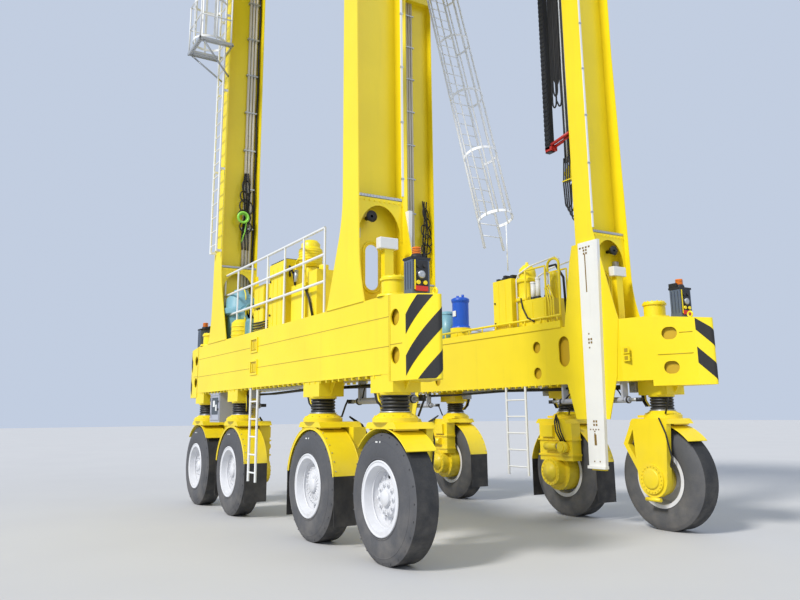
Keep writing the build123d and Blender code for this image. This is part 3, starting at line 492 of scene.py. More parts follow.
def leg_trim(side, end):
    yellow, steel, white, dark = [], [], [], []
    web, lip = (3.008, 3.18) if end > 0 else (-2.992, -2.825)
    inner, outer = side * 1.888, side * 2.626
    # Opening frame
    yellow.append(obround(side * 2.285, web, 3.44, 4.17, 0.29, 0.016))
    # Step grating
    y0, y1 = sorted((inner, outer))
    for i in range(7):
        x = web + 0.012 + 0.028 * i
        steel.append(block(x, x + 0.006, y0, y1, 4.78, 4.815))
    for i in range(15):
        y = y0 + (y1 - y0) * (i + 0.5) / 15
        steel.append(block(web + 0.007, web + 0.19, y - 0.004, y + 0.004, 4.785, 4.82))
    # Arched rib with bolts, under the step
    middle, half = (inner + outer) / 2, abs(outer - inner) / 2
    outline = [(-half, 0.0), (half, 0.0), (half, -0.6)]
    outline += [(half * cos(pi * i / 16) * 0.94, -0.6 + 0.5 * sin(pi * i / 16)) for i in range(17)]
    outline.append((-half, -0.6))
    yellow.append(slab(outline, (lip, middle, 4.77), (0, 1, 0), (0, 0, 1), 0.014))
    for i in range(9):
        y = middle + half * (i - 4) / 4.6
        yellow.append(bolt((lip + 0.014, y, 4.735), (1, 0, 0), 0.016, 0.014))
    # Cable rail along the inner plate's edge
    white.append(
        block(*sorted((end * 3.204, end * 3.222)), *sorted((side * 1.868, side * 1.9)), 4.85, 12.3)
    )
    for i in range(9):
        z = 5.1 + 0.88 * i
        steel.append(
            block(
                *sorted((end * 3.2, end * 3.228)), *sorted((side * 1.862, side * 1.906)), z,
                z + 0.03
            )
        )
    # Edge weld of the flared foot
    yellow.append(
        block(*sorted((end * 2.3, end * 3.44)), *sorted((side * 2.644, side * 2.66)), 3.237, 3.245)
    )
    # Guide strip: slot, bolt groups, foot block
    def on_strip(x, z):
        return (end * x, side * 1.81, z)
    way = (0, -side, 0)
    for x in (2.95, 3.02, 3.09, 3.16):
        dark.append(
            block(
                *sorted((end * (x - 0.02), end * (x + 0.02))),
                *sorted((side * 1.8085, side * 1.81)), 4.5, 4.53
            )
        )
    # The slot is a thin dark sheet on the strip: painted shade inside it
    dark.append(
        block(*sorted((end * 3.038, end * 3.062)), *sorted((side * 1.8085, side * 1.81)), 3.75, 4.4)
    )
    for z in (4.44, 2.93, 1.6):
        for dx in (-0.045, 0.01):
            for dz in (-0.045, 0.01):
                dark.append(
                    block(
                        *sorted((end * (3.06 + dx), end * (3.095 + dx))),
                        *sorted((side * 1.808, side * 1.81)), z + dz, z + dz + 0.035
                    )
                )
    for z in (3.05, 2.82, 1.47, 1.43):
        dark.append(bolt(on_strip(3.04, z), way, 0.014, 0.006))
    for dx in (-0.09, -0.03, 0.03, 0.09):
        dark.append(bolt(on_strip(3.04 + dx, 1.5), way, 0.012, 0.006))
    dark.append(
        block(*sorted((end * 3.02, end * 3.07)), *sorted((side * 1.8085, side * 1.81)), 1.25, 1.42)
    )
    for dx in (-0.06, 0.06):
        dark.append(bolt(on_strip(3.06 + dx, 1.0), way, 0.012, 0.006))
    white.append(
        block(*sorted((end * 2.85, end * 3.24)), *sorted((side * 1.79, side * 1.872)), 0.885, 0.93)
    )
    yellow.append(
        block(*sorted((end * 2.92, end * 3.2)), *sorted((side * 1.82, side * 1.886)), 0.86, 0.885)
    )
    yellow.append(
        block(*sorted((end * 2.9, end * 3.2)), *sorted((side * 1.872, side * 1.9)), 0.9, 1.7)
    )
    name = f"{SIDE[side]}_{'near' if end > 0 else 'far'}"
    piece(f"leg_fittings_{name}", YELLOW, "chassis", yellow)
    piece(f"leg_steps_{name}", ZINC, "chassis", steel)
    piece(f"leg_rails_{name}", WHITE, "chassis", white)
    piece(f"strip_fittings_{name}", BROWN, "chassis", dark)


for side in (LEFT, RIGHT):
    for end in (NEAR, FAR):
        leg_trim(side, end)


# Cables, ducts and small boxes on the legs
def wavy(x, y, low, high, sway, turns, count=24, phase=0.0):
    path = []
    for i in range(count + 1):
        t = i / count
        path.append(
            (
                x + sway * sin(turns * 2 * pi * t + phase),
                y + sway * cos(turns * 2 * pi * t + phase), low + (high - low) * t
            )
        )
    return path


def leg_cables():
    ducts, clamps, cables, boxes, whites, reds, yellows = [], [], [], [], [], [], []
    for side in (LEFT, RIGHT):
        for y in (2.0, 2.07, 2.14):
            ducts.append(tube([(-2.96, side * y, 3.6), (-2.96, side * y, 12.2)], 0.03, 10))
        for i in range(10):
            clamps.append(
                block(
                    -2.992, -2.915, *sorted((side * 1.94, side * 2.2)), 3.9 + 0.88 * i,
                    3.93 + 0.88 * i
                )
            )
        cables.append(tube(wavy(-2.95, side * 1.925, 4.2, 12.1, 0.006, 5, 40), 0.022, 8))
        # Hanging loops by the far leg
        loop_y = 2.12 if side == LEFT else 2.45
        for k, y in enumerate((-0.05, 0.0, 0.05)):
            cables.append(
                tube(wavy(-2.9, side * (loop_y + y), 5.2, 6.9, 0.02, 1.5, 30, k), 0.017, 8)
            )
        for k in range(5):
            cables.append(
                ring(
                    (-2.88, side * (loop_y + 0.04 * (k % 2)), 5.7 + 0.22 * k), (1, 0.15 * k, 0.1),
                    0.13 + 0.02 * (k % 3), 0.014, 32
                )
            )
        # Cable runs on the bay side of the near leg
        for k, y in enumerate((2.18, 2.24, 2.3, 2.36, 2.42)):
            cables.append(
                tube(wavy(2.945, side * y, 4.4 + 0.3 * k, 12.1, 0.008, 3, 40, k), 0.021, 8)
            )
        for i in range(8):
            clamps.append(
                block(
                    2.93, 2.992, *sorted((side * 2.13, side * 2.47)), 5.2 + 0.9 * i, 5.23 + 0.9 * i
                )
            )
        reds.append(block(2.86, 2.99, *sorted((side * 2.0, side * 2.2)), 6.55, 6.62))
        cables.append(
            tube(
                [
                    (2.84, side * 2.15, 6.6), (2.82, side * 2.12, 6.3), (2.88, side * 2.16, 5.95),
                    (2.9, side * 2.2, 5.2), (2.95, side * 2.2, 4.4)
                ], 0.02, 8
            )
        )
        yellows.append(
            slab(
                [(0, 0), (0.22, 0.12), (0.22, 0.42), (0, 0.3)], (2.78, side * 1.95, 5.85),
                (1, 0, 0), (0, 0, 1), 0.016
            )
        )
        # White box on a post, beside the leg opening
        whites.append(block(3.3, 3.42, *sorted((side * 2.09, side * 2.38)), 4.0, 4.16))
        yellows.append(block(3.3, 3.4, *sorted((side * 2.16, side * 2.3)), 3.237, 4.0))
        clamps.append(rod((3.36, side * 2.23, 3.237), (3.36, side * 2.23, 3.27), 0.06, 16))
        # Horn and junction box on the web
        cables.append(
            lathe(
                [(0, 0.03), (0.05, 0.035), (0.16, 0.085), (0.165, 0.085), (0.165, 0.02)],
                (3.02, side * 2.38, 4.5), (1, 0, 0), 24
            )
        )
        boxes.append(block(3.01, 3.07, *sorted((side * 2.5, side * 2.6)), 4.2, 4.34))
        cables.append(
            tube(
                [
                    (3.04, side * 2.55, 4.2), (3.05, side * 2.57, 3.9), (3.04, side * 2.58, 3.6),
                    (3.04, side * 2.55, 3.25)
                ], 0.012, 6
            )
        )
    # Hose reel on the left far leg
    reel = [
        ring((-2.82, -2.2, 5.89), (1, 0, 0), 0.11, 0.026, 32),
        ring((-2.86, -2.2, 5.89), (1, 0, 0), 0.09, 0.02, 32)
    ]
    reel.append(tube([(-2.84, -2.12, 5.82), (-2.86, -2.14, 5.6), (-2.9, -2.2, 5.35)], 0.014, 8))
    piece("hose_reel", LIME, "chassis", reel)
    piece("leg_ducts", BEIGE, "chassis", ducts)
    piece("leg_clamps", ZINC, "chassis", clamps)
    piece("leg_cables", BLACK, "chassis", cables)
    piece("leg_boxes", GREY, "chassis", boxes, 0.006)
    piece("leg_white_boxes", WHITE, "chassis", whites, 0.01)
    piece("leg_red_parts", RED, "chassis", reds)
    piece("leg_brackets", YELLOW, "chassis", yellows)


leg_cables()


# Forks: bolts, hoses, fender edges and brake parts
def fork_trim(side, number):
    x = AXLES[number]
    end = 1 if x > 0 else -1
    name = f"{SIDE[side]}_{number}"
    body = f"steering_{name}"
    way = (0, -side, 0)
    yellow, black, steel, edge = [], [], [], []
    outer_wheel = number in (1, 4)
    if outer_wheel:
        face = side * 2.07
        yellow += [bolt(p, way, 0.013, 0.014) for p in circle_of(20, 0.19, (x, face, TYRE_R), way)]
        yellow.append(
            lathe([(0, 0.15), (0.012, 0.15), (0.02, 0.13), (0.02, 0.0)], (x, face, TYRE_R), way, 40)
        )
        yellow.append(rod((x, side * 2.2, TYRE_R), (x, side * 2.33, TYRE_R), 0.25, 40))
        yellow.append(
            rod(
                (x - end * 0.14, side * 2.09, TYRE_R - 0.3),
                (x + end * 0.14, side * 2.09, TYRE_R - 0.3), 0.03, 12
            )
        )
        black.append(
            tube(
                [
                    (x + end * 0.2, side * 2.24, 0.8), (x + end * 0.36, side * 2.14, 1.1),
                    (x + end * 0.33, side * 2.08, 1.45), (x + end * 0.22, side * 2.08, 1.68)
                ], 0.013, 8
            )
        )
    else:
        face = side * 1.935
        yellow += [bolt(p, way, 0.013, 0.014) for p in circle_of(18, 0.2, (x, face, TYRE_R), way)]
        yellow.append(
            lathe(
                [(0, 0.16), (0.03, 0.155), (0.04, 0.08), (0.06, 0.07), (0.06, 0.0)],
                (x, face, TYRE_R), way, 40
            )
        )
        yellow += [
            bolt(p, way, 0.012, 0.012) for p in circle_of(20, 0.3, (x, side * 2.095, TYRE_R), way)
        ]
        # Housing flanges, motor and covers
        hx0, hx1 = sorted((x - end * 0.32, x + end * 0.54))
        yellow.append(block(hx0, hx1, *sorted((side * 1.975, side * 2.2)), 1.3, 1.33))
        yellow.append(block(hx0, hx1, *sorted((side * 1.975, side * 2.2)), 1.04, 1.07))
        yellow += [
            bolt((hx0 + 0.04 + (hx1 - hx0 - 0.08) * i / 7, side * 1.975, 1.315), way, 0.012, 0.012)
            for i in range(8)
        ]
        yellow.append(
            rod((x + end * 0.36, side * 1.995, 1.19), (x + end * 0.36, side * 1.88, 1.19), 0.1, 28)
        )
        yellow.append(
            rod((x + end * 0.36, side * 1.88, 1.19), (x + end * 0.36, side * 1.86, 1.19), 0.075, 28)
        )
        yellow.append(
            block(
                *sorted((x - end * 0.2, x + end * 0.1)), *sorted((side * 1.94, side * 2.0)), 1.36,
                1.56
            )
        )
        yellow.append(
            rod((x - end * 0.1, side * 1.96, 1.2), (x + end * 0.2, side * 1.96, 1.2), 0.07, 24)
        )
        for k in range(3):
            black.append(
                tube(
                    [
                        (x + end * (0.3 + 0.05 * k), side * 1.95, 1.28),
                        (x + end * (0.26 + 0.06 * k), side * 1.88, 1.45),
                        (x + end * (0.18 + 0.05 * k), side * 1.93, 1.62),
                        (x + end * 0.1, side * 2.05, 1.74)
                    ], 0.013, 8
                )
            )
        steel.append(
            rod((x + end * 0.2, side * 1.955, 1.2), (x + end * 0.26, side * 1.955, 1.2), 0.05, 20)
        )
    # Flange bolts and base ring
    yellow += [
        bolt(p, (0, 0, 1), 0.014, 0.018)
        for p in circle_of(14, 0.255, (x, side * 2.44, 1.735), (0, 0, 1))
    ]
    steel.append(
        lathe([(0, 0.2), (0.012, 0.2), (0.012, 0.1)], (x, side * 2.44, 1.79), (0, 0, 1), 40)
    )
    # Fender: edge bead and bolts along its outer rim
    sweep = radians(47 if outer_wheel else 78)
    for y in (2.236, 2.649):
        path = [
            (
                x + 0.832 * sin(-sweep + 2 * sweep * i / 24), side * y,
                TYRE_R + 0.832 * cos(-sweep + 2 * sweep * i / 24)
            ) for i in range(25)
        ]
        yellow.append(tube(path, 0.009, 6))
    if not outer_wheel:
        for i in range(17):
            a = -sweep + 2 * sweep * (i + 0.5) / 17
            steel.append(
                bolt(
                    (x + 0.838 * sin(a), side * 2.62, TYRE_R + 0.838 * cos(a)), (sin(a), 0, cos(a)),
                    0.009, 0.008
                )
            )
        # Side skirt of the fender
        outline = []
        for i in range(25):
            a = -sweep + 2 * sweep * i / 24
            outline.append((0.837 * sin(a), 0.837 * cos(a)))
        for i in range(24, -1, -1):
            a = -sweep + 2 * sweep * i / 24
            outline.append((0.79 * sin(a), 0.79 * cos(a)))
        yellow.append(slab(outline, (x, side * 2.645, TYRE_R), (1, 0, 0), (0, 0, 1), side * -0.006))
    # Brackets that carry the fender
    for dx in (-0.3, 0.3):
        yellow.append(
            block(x + dx - 0.02, x + dx + 0.02, *sorted((side * 2.3, side * 2.64)), 1.57, 1.6)
        )
    # Steering lever
    yellow.append(block(*sorted((x, x - end * 0.3)), *sorted((side * 2.2, side * 2.3)), 1.68, 1.72))
    # Hose loops up to the beam
    loop = [
        (x + end * 0.22, side * 2.24, 1.74), (x + end * 0.3, side * 2.22, 1.9),
        (x + end * 0.34, side * 2.2, 1.98)
    ]
    black.append(tube(loop, 0.014, 8))
    piece(f"fork_fittings_{name}", LOW_YELLOW, body, yellow)
    piece(f"fork_hoses_{name}", BLACK, body, black)
    piece(f"fork_steel_{name}", ZINC, body, steel)


for side in (LEFT, RIGHT):
    for number in AXLES:
        fork_trim(side, number)


# Under the side beams: hoses, valve blocks, cylinder rods, cabinet front
def under_beam(side):
    black, yellow, grey, steel, dark, lit, ribs = [], [], [], [], [], [], []
    for number, x in AXLES.items():
        end = 1 if x > 0 else -1
        for k in range(3):
            dx = 0.31 + 0.035 * k
            hose = [
                (x - end * dx, side * (2.5 - 0.04 * k), 2.24),
                (x - end * (dx + 0.07), side * 2.5, 2.1),
                (x - end * (dx + 0.04), side * 2.48, 1.95),
                (x - end * (dx - 0.05), side * 2.45, 1.86)
            ]
            (black if k else yellow).append(tube(hose, 0.014, 8))
        grey.append(
            block(
                *sorted((x - end * 0.42, x - end * 0.56)), *sorted((side * 2.34, side * 2.48)),
                2.08, 2.25
            )
        )
        grey.append(
            block(
                *sorted((x - end * 0.44, x - end * 0.52)), *sorted((side * 2.3, side * 2.36)), 2.12,
                2.2
            )
        )
        # Gussets of the seat
        for way in (-1, 1):
            points = [(way * 0.282, 2.24), (way * 0.282, 2.06), (way * 0.42, 2.24)]
            yellow_plate = slab(
                [(px, pz) for px, pz in points], (x, side * 2.44, 0), (1, 0, 0), (0, 0, 1), 0.02
            )
            lit.append(yellow_plate)
        lit.append(
            lathe([(0, 0.2), (-0.03, 0.2), (-0.03, 0.15)], (x, side * 2.44, 2.03), (0, 0, 1), 36)
        )
        # Bellows ribs in lighter rubber: their colour paints the highlights on the ribs
        ribs += [
            ring((x, side * 2.44, 1.82 + 0.045 * k), (0, 0, 1), 0.162, 0.021, 36) for k in range(5)
        ]
    # Long pipes and cable trays under the beam
    for k, y in enumerate((2.02, 2.06, 2.1)):
        black.append(
            tube(
                [
                    (-3.5, side * y, 2.2 - 0.02 * k), (-1.2, side * y, 2.16), (0.4, side * y, 2.19),
                    (3.5, side * y, 2.18 - 0.02 * k)
                ], 0.018, 8
            )
        )
    steel.append(block(-1.1, 1.1, *sorted((side * 2.2, side * 2.4)), 2.2, 2.235))
    for end in (NEAR, FAR):
        steel.append(rod((end * 1.85, side * 2.0, 1.96), (end * 2.06, side * 2.0, 1.96), 0.026, 16))
        steel.append(rod((end * 3.64, side * 2.0, 1.96), (end * 3.82, side * 2.0, 1.96), 0.026, 16))
        dark.append(rod((end * 1.83, side * 2.0, 1.93), (end * 1.83, side * 2.0, 1.99), 0.05, 20))
        dark.append(rod((end * 3.84, side * 2.0, 1.93), (end * 3.84, side * 2.0, 1.99), 0.05, 20))
        for x in (2.09, 2.7, 3.0, 3.61):
            dark.append(
                rod((end * x, side * 2.0, 1.96), (end * (x + 0.03), side * 2.0, 1.96), 0.056, 24)
            )
        black.append(
            tube(
                [
                    (end * 2.2, side * 2.0, 2.0), (end * 2.3, side * 2.03, 2.1),
                    (end * 2.45, side * 2.08, 2.2)
                ], 0.012, 6
            )
        )
        black.append(
            tube(
                [
                    (end * 3.5, side * 2.0, 2.0), (end * 3.4, side * 2.03, 2.1),
                    (end * 3.25, side * 2.08, 2.2)
                ], 0.012, 6
            )
        )
    name = SIDE[side]
    piece(f"under_hoses_{name}", BLACK, "chassis", black)
    piece(f"bellows_ribs_{name}", RIB_HIGHLIGHT, "chassis", ribs)
    piece(f"under_yellow_hoses_{name}", YELLOW, "chassis", yellow)
    piece(f"under_plates_{name}", YELLOW, "chassis", lit)
    piece(f"valve_blocks_{name}", GREY, "chassis", grey, 0.006)
    piece(f"cylinder_rods_{name}", ZINC, "chassis", steel)
    piece(f"cylinder_ends_{name}", DARK, "chassis", dark)


for side in (LEFT, RIGHT):
    under_beam(side)


def cabinet_front():
    frame_parts = []
    for x0, x1, z0, z1 in (
        (-3.22, -2.68, 2.17, 2.21), (-3.22, -2.68, 1.69, 1.73), (-3.22, -3.18, 1.73, 2.17),
        (-2.72, -2.68, 1.73, 2.17)
    ):
        frame_parts.append(block(x0, x1, -2.615, -2.6, z0, z1))
    frame_parts.append(block(-3.29, -2.61, -2.62, -2.58, 2.2, 2.235))
    piece("cabinet_frame", GREY, "chassis", frame_parts, 0.004)
    glass = [block(-3.14, -2.76, -2.606, -2.6, 1.8, 2.13)]
    piece("cabinet_window", GLASS, "chassis", glass)
    dials = [
        block(-3.06, -2.94, -2.612, -2.605, 1.95, 2.07),
        block(-2.9, -2.82, -2.612, -2.605, 1.87, 1.99)
    ]
    piece("cabinet_panels", WHITE, "chassis", dials)
    latches = [
        rod((-2.7, -2.615, 1.9), (-2.7, -2.635, 1.9), 0.018, 12),
        rod((-2.7, -2.615, 2.05), (-2.7, -2.635, 2.05), 0.018, 12)
    ]
    latches += [block(-3.24, -3.2, -2.62, -2.6, z, z + 0.06) for z in (1.78, 2.06)]
    piece("cabinet_latches", DARK, "chassis", latches)


cabinet_front()


# Rims: bolts and rings
def wheel_trim(side, number):
    x = AXLES[number]
    name = f"{SIDE[side]}_{number}"
    out = (0, side, 0)
    face = side * (TRACK + 0.1)
    disc = side * (TRACK + 0.03)
    shapes, dark = [], []
    if number in (1, 4):
        for place in circle_of(10, 0.165, (x, face, TYRE_R), out):
            shapes.append(bolt(place, out, 0.021, 0.035))
            shapes.append(rod(place, place + Vector(out) * 0.012, 0.032, 16))
        for place in circle_of(12, 0.275, (x, disc, TYRE_R), out):
            shapes.append(bolt(place, out, 0.02, 0.028))
        # Ports in the rim's disc are thin dark discs on its face: painted shade inside the holes
        for place in circle_of(8, 0.25, (x, disc, TYRE_R), out, 0.2):
            dark.append(rod(place, place + Vector(out) * 0.003, 0.026, 20))
    else:
        # Planetary hub with a ribbed cover
        shapes.append(lathe([(0, 0.27), (0.05, 0.262), (0.06, 0.235)], (x, disc, TYRE_R), out, 48))
        shapes.append(lathe([(0.06, 0.235), (0.062, 0.19)], (x, disc, TYRE_R), out, 48))
        for place in circle_of(24, 0.25, (x, side * (TRACK + 0.085), TYRE_R), out):
            shapes.append(bolt(place, out, 0.013, 0.02))
        first, second = sides_of(out)
        for i in range(20):
            turn = 2 * pi * i / 20
            ray = first * cos(turn) + second * sin(turn)
            centre = Vector((x, face, TYRE_R))
            shapes.append(tube([centre + ray * 0.06, centre + ray * 0.185], 0.009, 6))
        for place in circle_of(10, 0.31, (x, disc, TYRE_R), out):
            shapes.append(bolt(place, out, 0.018, 0.026))
    shapes.append(ring((x, side * (TRACK + 0.2), TYRE_R), out, 0.438, 0.014))
    shapes.append(ring((x, side * (TRACK + 0.1), TYRE_R), out, 0.352, 0.01))
    shapes.append(
        lathe([(0, 0.1), (0.03, 0.1), (0.045, 0.085), (0.045, 0.0)], (x, face, TYRE_R), out, 24)
    )
    shapes.append(ring((x, side * (TRACK + 0.19), TYRE_R), out, 0.405, 0.01))
    valve = Vector((x + 0.37, side * (TRACK + 0.14), TYRE_R))
    shapes.append(rod(valve, valve + Vector((0.0, side * 0.06, 0)), 0.008, 8))
    piece(f"wheel_trim_{name}", RIM, f"wheel_{name}", shapes)
    if dark:
        piece(f"wheel_ports_{name}", DARK, f"wheel_{name}", dark)
    rubber = [
        ring((x, side * (TRACK + 0.1985), TYRE_R), out, 0.47, 0.012, 64),
        ring((x, side * (TRACK + 0.2045), TYRE_R), out, 0.53, 0.009, 64),
        ring((x, side * (TRACK + 0.204), TYRE_R), out, 0.61, 0.008, 64),
        ring((x, side * (TRACK + 0.192), TYRE_R), out, 0.68, 0.009, 64),
    ]
    for offset in (-0.11, 0.11):
        groove = [(0.006 * k, 0.7704) for k in (-1, 1)]
        rubber.append(lathe(groove, (x, side * TRACK + offset, TYRE_R), (0, 1, 0), 72))
    # Small moulded studs round the shoulder
    for place in circle_of(24, 0.742, (x, side * (TRACK + 0.168), TYRE_R), out):
        rubber.append(rod(place, place + Vector(out) * 0.008, 0.009, 8))
    piece(f"tyre_ribs_{name}", TYRE, f"wheel_{name}", rubber)
    marks = [
        rod(
            (x + 0.02, side * (TRACK + 0.2), TYRE_R + 0.665),
            (x + 0.02, side * (TRACK + 0.206), TYRE_R + 0.665), 0.012, 12
        )
    ]
    marks.append(
        block(
            x - 0.09, x - 0.04, *sorted((side * (TRACK + 0.2), side * (TRACK + 0.2055))),
            TYRE_R + 0.655, TYRE_R + 0.672
        )
    )
    piece(f"tyre_marks_{name}", WHITE, f"wheel_{name}", marks)


for side in (LEFT, RIGHT):
    for number in AXLES:
        wheel_trim(side, number)


# Scanners: upright boxes with their fittings on the outer end, and the beacons' mounts
def scanner_trim():
    bodies, dark, silver, lit, warm, mounts = [], [], [], [], [], []
    for side in (LEFT, RIGHT):
        for end in (NEAR, FAR):
            x, y = end * 4.43, side * 2.43
            back, front = x - end * 0.095, x + end * 0.095
            outline = [
                (back, end_top(abs(back))), (front, end_top(abs(front))), (front, 3.65),
                (back, 3.65)
            ]
            bodies.append(slab(outline, (0, y - 0.13, 0), (1, 0, 0), (0, 0, 1), -0.26))
            dark.append(block(x - 0.105, x + 0.105, y - 0.14, y + 0.14, 3.63, 3.66))
            dark.append(block(*sorted((front, front + end * 0.008)), y - 0.1, y + 0.1, 3.24, 3.62))
            way = (end, 0, 0)
            silver.append(
                lathe(
                    [(0, 0.05), (0.02, 0.05), (0.026, 0.03), (0.02, 0.0)],
                    (front + end * 0.008, y, 3.44), way, 28
                )
            )
            dark.append(ring((front + end * 0.012, y, 3.44), way, 0.062, 0.012, 28))
            for dy in (-0.05, 0.05):
                dark.append(
                    rod(
                        (front + end * 0.008, y + dy, 3.55), (front + end * 0.03, y + dy, 3.55),
                        0.024, 16
                    )
                )
                lit.append(
                    rod(
                        (front + end * 0.008, y + dy, 3.34), (front + end * 0.03, y + dy, 3.34),
                        0.026, 16
                    )
                )
            lit.append(
                block(
                    *sorted((front + end * 0.008, front + end * 0.014)), y - 0.1, y - 0.082, 3.25,
                    3.62
                )
            )
            warm.append(
                block(
                    *sorted((front + end * 0.006, front + end * 0.03)), y - 0.085, y + 0.085, 3.235,
                    3.295
                )
            )
            dark += [
                block(x - 0.06 + 0.06 * i, x - 0.055 + 0.06 * i, y - 0.134, y + 0.134, 3.26, 3.6)
                for i in range(3)
            ]
            mounts.append(
                lathe(
                    [(0, 0.075), (0.03, 0.075), (0.06, 0.06), (0.06, 0.03)], (x, y, 3.655),
                    (0, 0, 1), 28
                )
            )
            mounts += [
                ring((x, y, 3.735 + 0.022 * k), (0, 0, 1), 0.056, 0.003, 28) for k in range(3)
            ]
            mounts.append(
                block(x - 0.11, x + 0.03, y - side * 0.1 - 0.02, y - side * 0.1 + 0.02, 3.66, 3.73)
            )
            mounts.append(
                tube(
                    [
                        (x - 0.08, y, 3.68), (x - end * 0.13, y, 3.6),
                        (x - end * 0.13, y - side * 0.05, 3.4),
                        (x - end * 0.11, y - side * 0.1, 3.2)
                    ], 0.012, 8
                )
            )
    body = piece("scanner_bodies", SCANNER, "chassis", bodies, 0.006)
    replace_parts(body, "scanners")
    piece("scanner_frames", DARK, "chassis", dark)
    piece("scanner_eyes", ZINC, "chassis", silver)
    piece("scanner_plugs", YELLOW, "chassis", lit)
    piece("scanner_feet", RED, "chassis", warm)
    piece("beacon_mounts", BLACK, "chassis", mounts)


scanner_trim()


# Units on the side beams
def bell(x, y, z):
    """Vertical motor with a bell-shaped cover."""
    profile = [
        (0, 0.15), (0.05, 0.2), (0.3, 0.2), (0.34, 0.16), (0.4, 0.16), (0.46, 0.11), (0.48, 0.0)
    ]
    return lathe(profile, (x, y, z), (0, 0, 1), 32)


